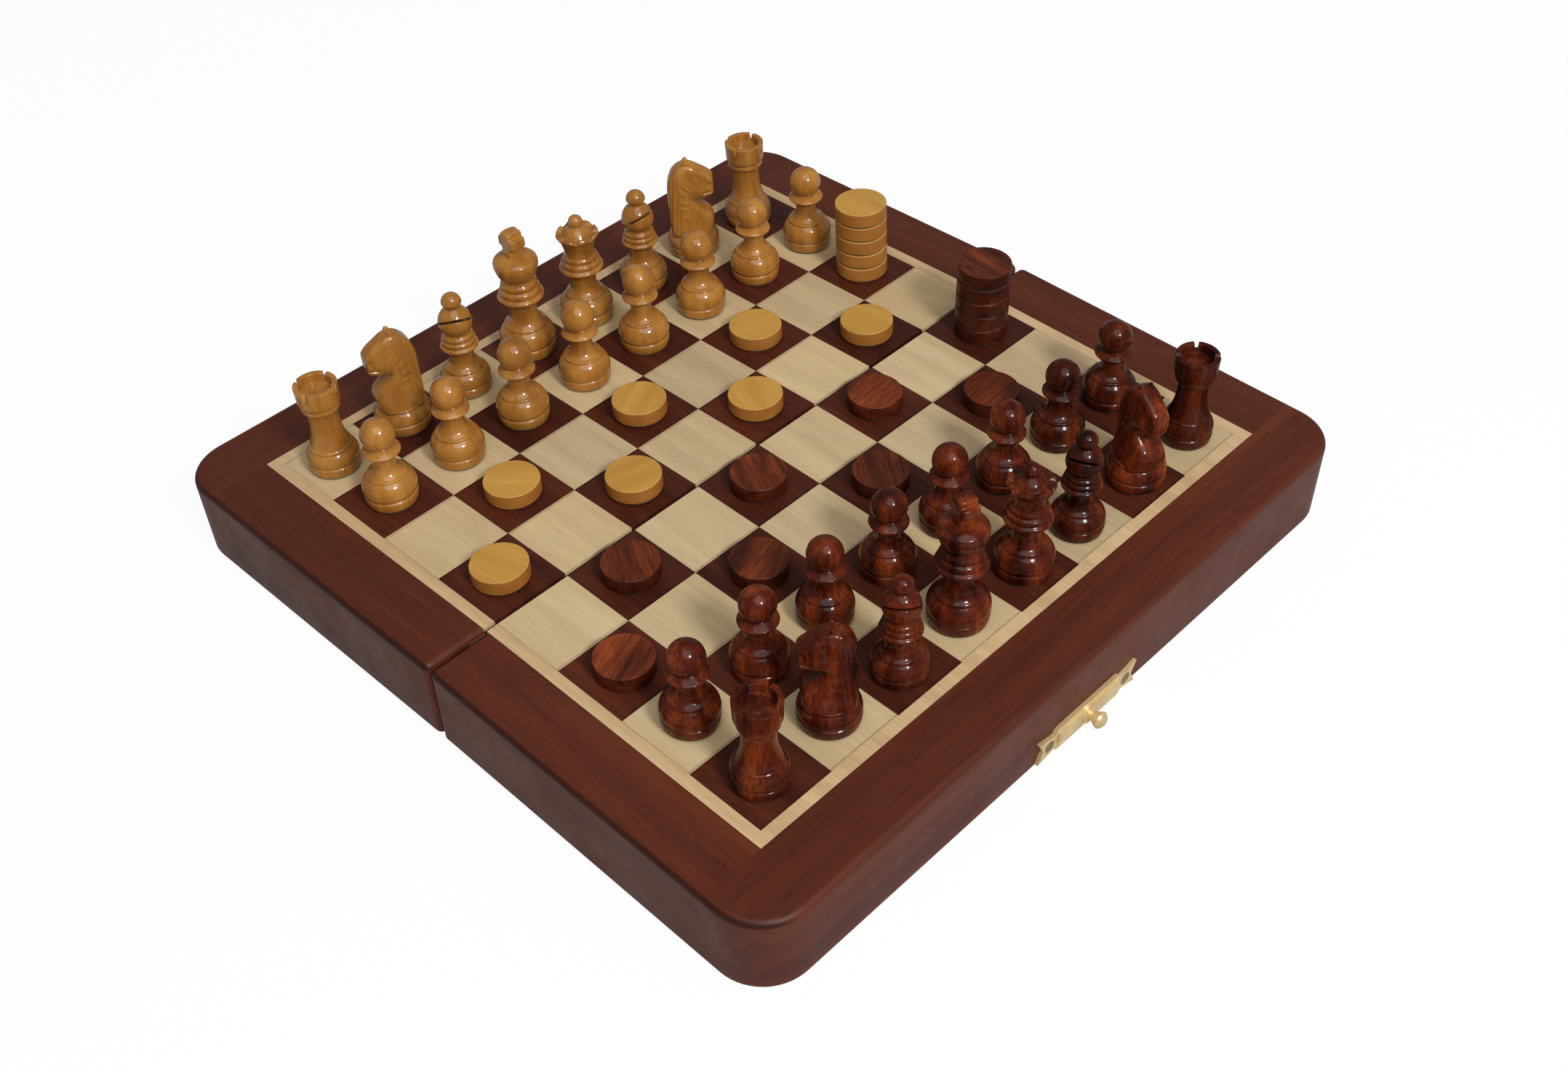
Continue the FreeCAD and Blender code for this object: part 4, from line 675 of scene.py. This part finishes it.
# Bishop: rows of the mitre are shifted to run along the slit's plane, which falls inward with the
# slope, and the rows between the slit's lips go in to its end; their depth sets the painted shade in the cut.
def bishopMan(kind):
    look = bishopLook
    angles = evenAngles(turning["columns"])
    fine = turnedOutline(menShapes[kind], turning["lacquer"], turning["fine"])
    step = np.arange(len(fine))
    low, high = np.interp([look["headFrom"], look["headTo"]], fine[:, 1], step)
    front = fine[:, 0].compress(fine[:, 1] > look["mitreFrom"]).max()
    plane = look["slitHeight"] + look["slitSlope"] * (fine[:, :1] * np.cos(angles) - front)
    head = (step > low) & (step < high)
    above = fine[:, 1:] - plane
    lips = [low + (head[:, None] & (above < side * look["slitWidth"] / 2)).sum(axis=0) for side in (-1, 1)]
    share = np.linspace(0, 1, look["rows"] + 1)[1:, None] ** look["crowd"]
    under = low + (lips[0] - low) * share
    over = lips[1] + (high - lips[1]) * (1 - share[::-1])
    plain = outlines[kind]
    foot = plain[plain[:, 1] < look["headFrom"]]
    knob = plain[plain[:, 1] > look["headTo"]]

    def atStep(rows):
        r = np.interp(rows, step, fine[:, 0])
        return np.stack([r * np.cos(angles), r * np.sin(angles), np.interp(rows, step, fine[:, 1])], axis=-1)

    bottom, top = atStep(under[-1:]), atStep(over[:1])
    cosine = np.cos(angles)
    least = look["leastCosine"]
    ends = np.where(cosine > least, look["slitEnd"] / np.maximum(cosine, least), np.inf)
    inner, deep = [], []
    for lip, way in ((bottom, 1 / 3), (top, 2 / 3)):
        r = np.hypot(lip[..., 0], lip[..., 1])
        into = np.minimum(ends, r)
        fall = look["slitSlope"] * (r - into) * cosine
        sawn = np.stack([into * cosine, into * np.sin(angles), lip[..., 2] - fall], axis=-1)
        skin = atStep((lips[0] + (lips[1] - lips[0]) * way)[None])  # past the slit's end
        inner.append(np.where((into < r)[..., None], sawn, skin))
        deep.append(np.clip((r - into) / look["slitShadeDepth"], 0, 1))
    grid = np.concatenate([
        spun(foot, angles), atStep(under), inner[0], inner[1], atStep(over), spun(knob, angles)])
    firstInner = len(foot) + len(under)
    # painted shade inside the slit: full deep in the cut, part of it on the lips
    slitShadeMask = np.zeros(grid.shape[:2])
    slitShadeMask[firstInner - 1:firstInner + 3] = np.concatenate([
        deep[0] * look["lipShadeShare"], deep[0], deep[1], deep[1] * look["lipShadeShare"]])
    cutShares[kind] = slitShadeMask
    return [grid]


queenLook = {
    "notches": 8, "notchRadius": 1.0, "notchDepth": 0.95, "notchFrom": 3.75, "crownFrom": 21.0,
    "perNotch": 15,
}


# Queen: round notches in the crown's rim; within a notch the rim comes down to a circle whose
# depth is the root of radius squared less the distance along the rim squared.
def queenMan(kind):
    look = queenLook
    angles = evenAngles(look["notches"] * look["perNotch"])
    outline = outlines[kind]
    grid = spun(outline, angles)
    pitch = 2 * math.pi / look["notches"]
    crown = (outline[:, 1] > look["crownFrom"]) & (outline[:, 0] > look["notchFrom"])
    rim = outline[crown, 0].max()
    lip = outline[crown, 1].max()
    aside = np.abs((angles + pitch / 2) % pitch - pitch / 2) * rim
    dip = np.sqrt(np.maximum(0, 1 - (aside / look["notchRadius"]) ** 2)) * look["notchDepth"]
    lowered = np.minimum(grid[..., 2], lip - dip)
    grid[..., 2] = np.where(crown[:, None] & (dip > 0), lowered, grid[..., 2])
    return [grid]


crossLook = {
    "width": 5.4, "arm": 2.3, "tip": 1.4, "waist": 3.0, "thick": 3.8, "foot": 24.4, "top": 31.3,
    "soften": 0.26, "edge": 0.45, "points": 120, "faceRings": (0, 0.4, 0.75), "edgeRows": 9, "drawnIn": 0.14,
}


# King: the spun outline and a cross, which is rings of a softened outline, full size between its
# faces and drawn in round its edges.
def kingMan(kind):
    look = crossLook
    waist, wide = look["waist"] / 2, look["width"] / 2
    armTop = look["top"] - look["tip"]
    armLow = armTop - look["arm"]
    right = [(waist, look["foot"]), (waist, armLow), (wide, armLow), (wide, armTop), (waist, armTop),
             (waist, look["top"])]
    corners = right + [(-x, z) for x, z in right[::-1]]
    line = np.vstack([arcPoints(a, b, 0) for a, b in zip(corners, corners[1:] + corners[:1])])
    line = softLine(line, look["soften"], look["points"], closed=True)
    middle = np.array([0, (armLow + armTop) / 2])
    turn = np.radians(np.linspace(-90, 90, look["edgeRows"]))
    edgeRows = np.stack([1 + (np.cos(turn) - 1) * look["drawnIn"], np.sin(turn)], axis=1)
    rings = look["faceRings"]
    rows = np.r_[[(ring, -1) for ring in rings], edgeRows, [(ring, 1) for ring in rings[::-1]]]
    depth = rows[:, 1] * (look["thick"] / 2 - look["edge"]) + np.r_[
        [-look["edge"]] * len(rings), np.sin(turn) * look["edge"], [look["edge"]] * len(rings)]
    shape = middle + (line - middle) * rows[:, 0][:, None, None]
    cross = np.stack([shape[..., 0], depth[:, None] + 0 * shape[..., 0], shape[..., 1]], axis=-1)
    return plainMan(kind) + [cross]


# Knight: back and front ends of the sections from the foot up the neck and out to the muzzle, each
# (back x, back height, front x, front height, half width), from the turned base's top.
knightLook = {
    "seat": 6.1,
    "sections": [
        (-4.9, -0.4, 4.9, -0.4, 4.75), (-5.05, 0.7, 5.3, 0.8, 4.35), (-5.2, 2.4, 5.5, 2.6, 3.75),
        (-5.25, 4.4, 4.9, 4.3, 3.3), (-5.3, 6.6, 3.2, 5.7, 3.05), (-5.3, 8.8, 1.8, 7.0, 2.95),
        (-5.3, 11.0, 1.35, 7.9, 2.9), (-5.05, 13.2, 1.8, 8.3, 2.85), (-4.2, 15.3, 2.5, 8.4, 2.8),
        (-2.6, 16.9, 3.2, 8.4, 2.7), (-0.8, 17.6, 3.8, 8.45, 2.55), (0.8, 17.3, 4.3, 8.6, 2.4),
        (2.4, 16.4, 4.6, 8.75, 2.3), (3.9, 15.6, 5.0, 8.9, 2.2), (4.9, 14.9, 5.3, 9.1, 2.1),
        (5.5, 14.3, 5.6, 9.4, 2.0), (5.75, 14.0, 5.75, 9.7, 1.9), (5.85, 13.6, 5.85, 10.1, 1.6),
    ],
    "rows": 120, "columns": 112, "square": 4.0, "leastHalf": 0.05,
    "denseRows": 400, "leastStep": 0.2, "smoothReach": 24, "smoothWidth": 6,
    "maneEdge": (-0.2, 16.0, -1.5, 0.5), "maneRise": 0.36, "maneDepth": 0.26, "manePitch": 0.95,
    "maneSoft": 0.16, "maneStart": 0.08, "maneStop": 0.74, "maneFade": 0.1,
    "eye": (1.6, 13.7), "ballRise": 0.36, "ballSize": 0.55, "socketDepth": 0.4, "socketSizes": (1.2, 0.7),
    "nostril": (5.0, 12.4), "nostrilDepth": 0.5, "nostrilSize": 0.45,
    "mouth": (3.6, 10.1, 5.8, 10.5), "mouthDepth": 0.55, "mouthSize": 0.22,
    "cheek": (2.0, 10.9), "cheekRise": 0.3, "cheekSize": 1.7,
    "ear": (-0.9, 16.6, 18.3), "earWidth": 0.75, "earApart": 1.0, "earRows": 16, "earColumns": 24,
    "earTaper": 1.6, "earLean": 0.4, "earSpread": 0.15, "earLong": 1.2, "earThin": 0.85,
}


# Sections of the head are superellipses between the back and front ends; the mane's grooves, the
# eyes, the nostrils, the mouth and the cheek's edge are pushed in or out sideways.
def knightMan(kind):
    look = knightLook
    table = np.array(look["sections"])
    middles = (table[:, :2] + table[:, 2:4]) / 2
    run = np.r_[0, np.cumsum(np.hypot(*np.diff(middles, axis=0).T) + look["leastStep"])]
    even = np.linspace(0, run[-1], look["denseRows"])
    dense = np.stack([np.interp(even, run, table[:, k]) for k in range(5)], axis=1)
    reach = look["smoothReach"]
    bell = bellCurve(reach, look["smoothWidth"])
    padded = np.vstack([2 * dense[0] - dense[reach:0:-1], dense, 2 * dense[-1] - dense[-2:-reach - 2:-1]])
    dense = np.stack([np.convolve(padded[:, k], bell, "valid") for k in range(5)], axis=1)
    counts = np.arange(look["denseRows"])
    picked = np.linspace(0, counts[-1], look["rows"])
    rows = np.stack([np.interp(picked, counts, dense[:, k]) for k in range(5)], axis=1)
    back, front, wide = rows[:, None, :2], rows[:, None, 2:4], rows[:, None, 4:]
    angle = evenAngles(look["columns"])[None, :, None]
    power = 2 / look["square"]
    across = np.sign(np.cos(angle)) * np.abs(np.cos(angle)) ** power  # 1 at the front, -1 at the back
    aside = np.sign(np.sin(angle)) * np.abs(np.sin(angle)) ** power
    flat = (back + front) / 2 + (front - back) / 2 * across
    x, z = flat[..., :1], flat[..., 1:]
    up = np.linspace(0, 1, look["rows"])[:, None, None]

    def spot(px, pz, size):
        return np.exp(-((x - px) ** 2 + (z - pz) ** 2) / size ** 2)

    def crease(x0, z0, x1, z1, size):
        run = np.clip(((x - x0) * (x1 - x0) + (z - z0) * (z1 - z0)) / ((x1 - x0) ** 2 + (z1 - z0) ** 2), 0, 1)
        return np.exp(-((x - x0 - run * (x1 - x0)) ** 2 + (z - z0 - run * (z1 - z0)) ** 2) / size ** 2)

    topX, topZ, lowX, lowZ = look["maneEdge"]
    behind = lowX + (topX - lowX) * (z - lowZ) / (topZ - lowZ) - x
    mane = 0.5 + 0.5 * np.tanh(behind / look["maneSoft"])
    mane = mane * np.clip((look["maneStop"] - up) / look["maneFade"], 0, 1)
    mane = mane * np.clip(up / look["maneStart"], 0, 1)
    grooves = 0.5 - 0.5 * np.cos(behind / look["manePitch"] * 2 * math.pi)
    push = mane * (look["maneRise"] - look["maneDepth"] * grooves ** 2)
    outer, inner = (spot(*look["eye"], size) for size in look["socketSizes"])
    push = push + look["ballRise"] * spot(*look["eye"], look["ballSize"])
    push = push - look["socketDepth"] * (outer - inner)
    push = push - look["nostrilDepth"] * spot(*look["nostril"], look["nostrilSize"])
    push = push - look["mouthDepth"] * crease(*look["mouth"], look["mouthSize"])
    push = push + look["cheekRise"] * spot(*look["cheek"], look["cheekSize"])
    half = np.maximum(wide + push, look["leastHalf"]) * aside
    head = np.concatenate([x, half, z + look["seat"]], axis=-1)
    head[0] = head[0].mean(axis=0)
    head[-1] = head[-1].mean(axis=0)
    ears = []
    for side in (-1, 1):
        rise = np.linspace(0, 1, look["earRows"])[:, None]
        size = look["earWidth"] * np.sqrt(np.maximum(0, 1 - rise ** look["earTaper"]))
        turn = evenAngles(look["earColumns"])[None, :]
        earFoot, earLow, earTip = look["ear"]
        earX = earFoot + look["earLean"] * rise + size * look["earLong"] * np.cos(turn)
        earY = side * (look["earApart"] + look["earSpread"] * rise) + size * look["earThin"] * np.sin(turn)
        earZ = look["seat"] + earLow + (earTip - earLow) * rise + 0 * turn
        ear = np.stack([earX, earY, earZ], axis=-1)
        ear[0] = ear[0].mean(axis=0)
        ear[-1] = ear[-1].mean(axis=0)
        ears.append(ear)
    return plainMan(kind) + [head] + ears


feltShape = {"soften": 0.1, "rows": 14, "columns": 48, "faceSteps": 20, "edgeSteps": 8}


# Felt disc under a man: a flat lens of the felt's thickness with a soft edge.
def feltDisc(radius):
    thick = board["feltThick"]
    line = softLine(np.vstack([
        arcPoints((0, -thick), (radius, -thick), 0, feltShape["faceSteps"]),
        arcPoints((radius, -thick), (radius, 0), 0, feltShape["edgeSteps"]),
        arcPoints((radius, 0), (0, 0), 0, feltShape["faceSteps"]), [[0, 0]]]),
        feltShape["soften"], feltShape["rows"])
    line[[0, -1], 0] = 0
    return spun(line, evenAngles(feltShape["columns"]))


men = {"pawn": plainMan, "rook": rookMan, "bishop": bishopMan, "queen": queenMan, "king": kingMan,
       "knight": knightMan}
layout = {
    "backRank": ["rook", "knight", "bishop", "king", "queen", "bishop", "knight", "rook"],
    "nudges": {
        "light": [
            (-1.6, 0.1), (-0.7, 0.7), (-1.6, 0.1), (-1.0, 0.7),
            (-1.6, 0.1), (-1.6, 0.1), (-1.8, 1.4), (-1.9, 0.5),
        ],
        "dark": [
            (-1.1, -1.1), (-0.1, -0.1), (-0.8, -1.9), (-0.5, -0.7),
            (0.8, -1.3), (-0.8, -1.9), (1.2, -1.7), (1.4, -1.4),
        ],
    },
    "turns": {
        "light": {"rook": (27.6, 20), "knight": (165, -45), "bishop": (240, 280), "king": (85,)},
        "dark": {"rook": (15, 40), "knight": (140, 250), "bishop": (226, 205), "king": (70,)},
    },
    "lightCheckers": [(1, 5), (3, 5), (5, 5), (0, 4), (2, 4), (4, 4), (6, 4)],
    "darkCheckers": [(0, 2), (2, 2), (4, 2), (6, 2), (1, 3), (3, 3), (5, 3)],
    "stacks": {"light": (7, 5), "dark": (7, 3)},
    "stackCount": 5,
}
menWood = {"light": boxwood, "dark": stainedMen}
menGrids = {kind: build(kind) for kind, build in men.items()}


# A man's wood and felt, set on its square in place of its CAD node.
def setMan(nodeName, kind, half, file, rank, nudge=(0, 0), turn=0):
    grids = [standOnSquare(grid, half, file, rank, nudge, turn) for grid in menGrids[kind]]
    wood = addPiece(nodeName + "_wood", grids, nodeName, menWood[half],
                    cutShares.get(kind))
    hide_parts(nodeName)
    disc = feltDisc(menShapes[kind][0][0] - board["feltInset"])
    addPiece(nodeName + "_felt", [standOnSquare(disc, half, file, rank, nudge)], nodeName,
             greenFelt)


for half, backRow, pawnRow in (("light", 7, 6), ("dark", 0, 1)):
    seen = {}
    for file, kind in enumerate(layout["backRank"]):
        seen[kind] = seen.get(kind, 0) + 1
        paired = layout["backRank"].count(kind) > 1
        nodeName = f"{half}_{kind}_{seen[kind]}" if paired else f"{half}_{kind}"
        turns = layout["turns"][half].get(kind)
        setMan(nodeName, kind, half, file, backRow, layout["nudges"][half][file],
               turns[seen[kind] - 1] if turns else 0)
    for file in range(8):
        setMan(f"{half}_pawn_{file + 1}", "pawn", half, file, pawnRow)
print("chessmen set out")

discWood = {"light": boxwoodDisc, "dark": stainedDisc}
for half in ("light", "dark"):
    pitch = sum(rise for radius, rise, bulge in menShapes["checker"]) + board["feltThick"]
    spots = [(*spot, 0) for spot in layout[half + "Checkers"]]
    spots += [(*layout["stacks"][half], pitch * level) for level in range(layout["stackCount"])]
    disc = spun(outlines["checker"], evenAngles(turning["columns"]))
    felt = feltDisc(menShapes["checker"][0][0] - board["feltInset"])
    nodeName = half + "_checkers"
    wood = addPiece(nodeName + "_wood", [standOnSquare(disc, half, f, r, level=z) for f, r, z in spots],
                    nodeName, discWood[half])
    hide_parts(nodeName)
    addPiece(nodeName + "_felt", [standOnSquare(felt, half, f, r, level=z) for f, r, z in spots],
             nodeName, greenFelt)
print("checkers set out")

# Stage: white floor that keeps a soft shadow, camera, lamps
stageLook = {
    "floorSize": 6.0, "floorDrop": 0.0002, "floorColour": (0.9, 0.9, 0.9), "seenWhite": 0.93,
    "glossGrey": 0.34, "glossShare": 0.8, "worldStrength": 0.26, "lampAim": (0, 0, 0.02),
    "keyPower": 6.0, "keySize": 0.21, "keyPlace": (-0.16, -0.76, 0.72),
    "topPower": 10.0, "topSize": 1.3, "topPlace": (-0.3, -0.6, 1.25),
}


# A square of floor: white light to the camera, grey in reflections, and matt where it takes the shadow.
def makeFloor():
    half = stageLook["floorSize"] / 2
    mesh = bpy.data.meshes.new("floor")
    corners = [(-half, -half, 0), (half, -half, 0), (half, half, 0), (-half, half, 0)]
    mesh.from_pydata(corners, [], [(0, 1, 2, 3)])
    material = bpy.data.materials.new("whiteFloor")
    material.use_nodes = True
    tree = material.node_tree
    tree.nodes.clear()
    ways = addNode(tree, "ShaderNodeLightPath")
    seen = maths(tree, "MAXIMUM", ways.outputs["Is Camera Ray"], ways.outputs["Is Transmission Ray"])
    share = maths(tree, "MAXIMUM", maths(tree, "MULTIPLY", seen, stageLook["seenWhite"]),
                  maths(tree, "MULTIPLY", ways.outputs["Is Glossy Ray"], stageLook["glossShare"]))
    glow = mapRange(tree, ways.outputs["Is Glossy Ray"], 0, 1, 1.0, stageLook["glossGrey"])
    matt = addNode(tree, "ShaderNodeBsdfDiffuse", {"Color": (*stageLook["floorColour"], 1)})
    white = addNode(tree, "ShaderNodeEmission", {"Color": (1, 1, 1, 1), "Strength": glow})
    both = addNode(tree, "ShaderNodeMixShader", {0: share, 1: matt.outputs[0], 2: white.outputs[0]})
    addNode(tree, "ShaderNodeOutputMaterial", {"Surface": both.outputs[0]})
    mesh.materials.append(material)
    floor = bpy.data.objects.new("floor", mesh)
    floor.location.z = -stageLook["floorDrop"]
    bpy.context.scene.collection.objects.link(floor)


# White behind everything for the camera, and a weaker even light for the object.
def makeWorld():
    world = bpy.data.worlds.new("studio")
    bpy.context.scene.world = world
    world.use_nodes = True
    tree = world.node_tree
    tree.nodes.clear()
    ways = addNode(tree, "ShaderNodeLightPath")
    seen = maths(tree, "MAXIMUM", ways.outputs["Is Camera Ray"], ways.outputs["Is Transmission Ray"])
    strength = mapRange(tree, seen, 0, 1, stageLook["worldStrength"], 1.0)
    light = addNode(tree, "ShaderNodeBackground", {"Color": (1, 1, 1, 1), "Strength": strength})
    addNode(tree, "ShaderNodeOutputWorld", {"Surface": light.outputs[0]})


# A round lamp at its place, whose back points away from the board.
def addLamp(name, power, size, place):
    lamp = bpy.data.lights.new(name, "AREA")
    lamp.shape = "DISK"
    lamp.energy = power
    lamp.size = size
    holder = bpy.data.objects.new(name, lamp)
    holder.location = place
    away = Vector(place) - Vector(stageLook["lampAim"])
    holder.rotation_euler = away.to_track_quat("Z", "Y").to_euler()
    bpy.context.scene.collection.objects.link(holder)


cameraLook = {  # degrees; target and distance in squares from the middle of the board's top, height in mm
    "azimuth": -44.0904, "elevation": 43.1797, "roll": -2.4463, "distance": 20.6505,
    "target": (-0.8496, -1.2644), "topHeight": 19.3, "focalPixels": 2506.26, "imageWidth": 2156,
    "sensor": 36, "clip": (0.01, 50),
}


# The camera stands back from its target along azimuth and elevation, and rolls about its own view.
def makeCamera():
    look = cameraLook
    a, e, r = (math.radians(look[key]) for key in ("azimuth", "elevation", "roll"))
    back = Vector((math.sin(a) * math.cos(e), -math.cos(a) * math.cos(e), math.sin(e)))
    right = Vector((math.cos(a), math.sin(a), 0))
    up = back.cross(right)
    axisX = right * math.cos(r) + up * math.sin(r)
    axisY = up * math.cos(r) - right * math.sin(r)
    square = board["square"] * mm
    target = Vector((look["target"][0] * square, look["target"][1] * square, look["topHeight"] * mm))
    data = bpy.data.cameras.new("camera")
    data.sensor_fit = "HORIZONTAL"
    data.sensor_width = look["sensor"]
    data.lens = look["sensor"] * look["focalPixels"] / look["imageWidth"]
    data.clip_start, data.clip_end = look["clip"]
    camera = bpy.data.objects.new("camera", data)
    place = Matrix((axisX, axisY, back)).transposed().to_4x4()
    place.translation = target + back * look["distance"] * square
    camera.matrix_world = place
    bpy.context.scene.collection.objects.link(camera)
    bpy.context.scene.camera = camera


makeFloor()
makeWorld()
addLamp("keyLamp", stageLook["keyPower"], stageLook["keySize"], stageLook["keyPlace"])
addLamp("topLamp", stageLook["topPower"], stageLook["topSize"], stageLook["topPlace"])
makeCamera()
bpy.context.scene.view_settings.view_transform = "Standard"
print("stage set")
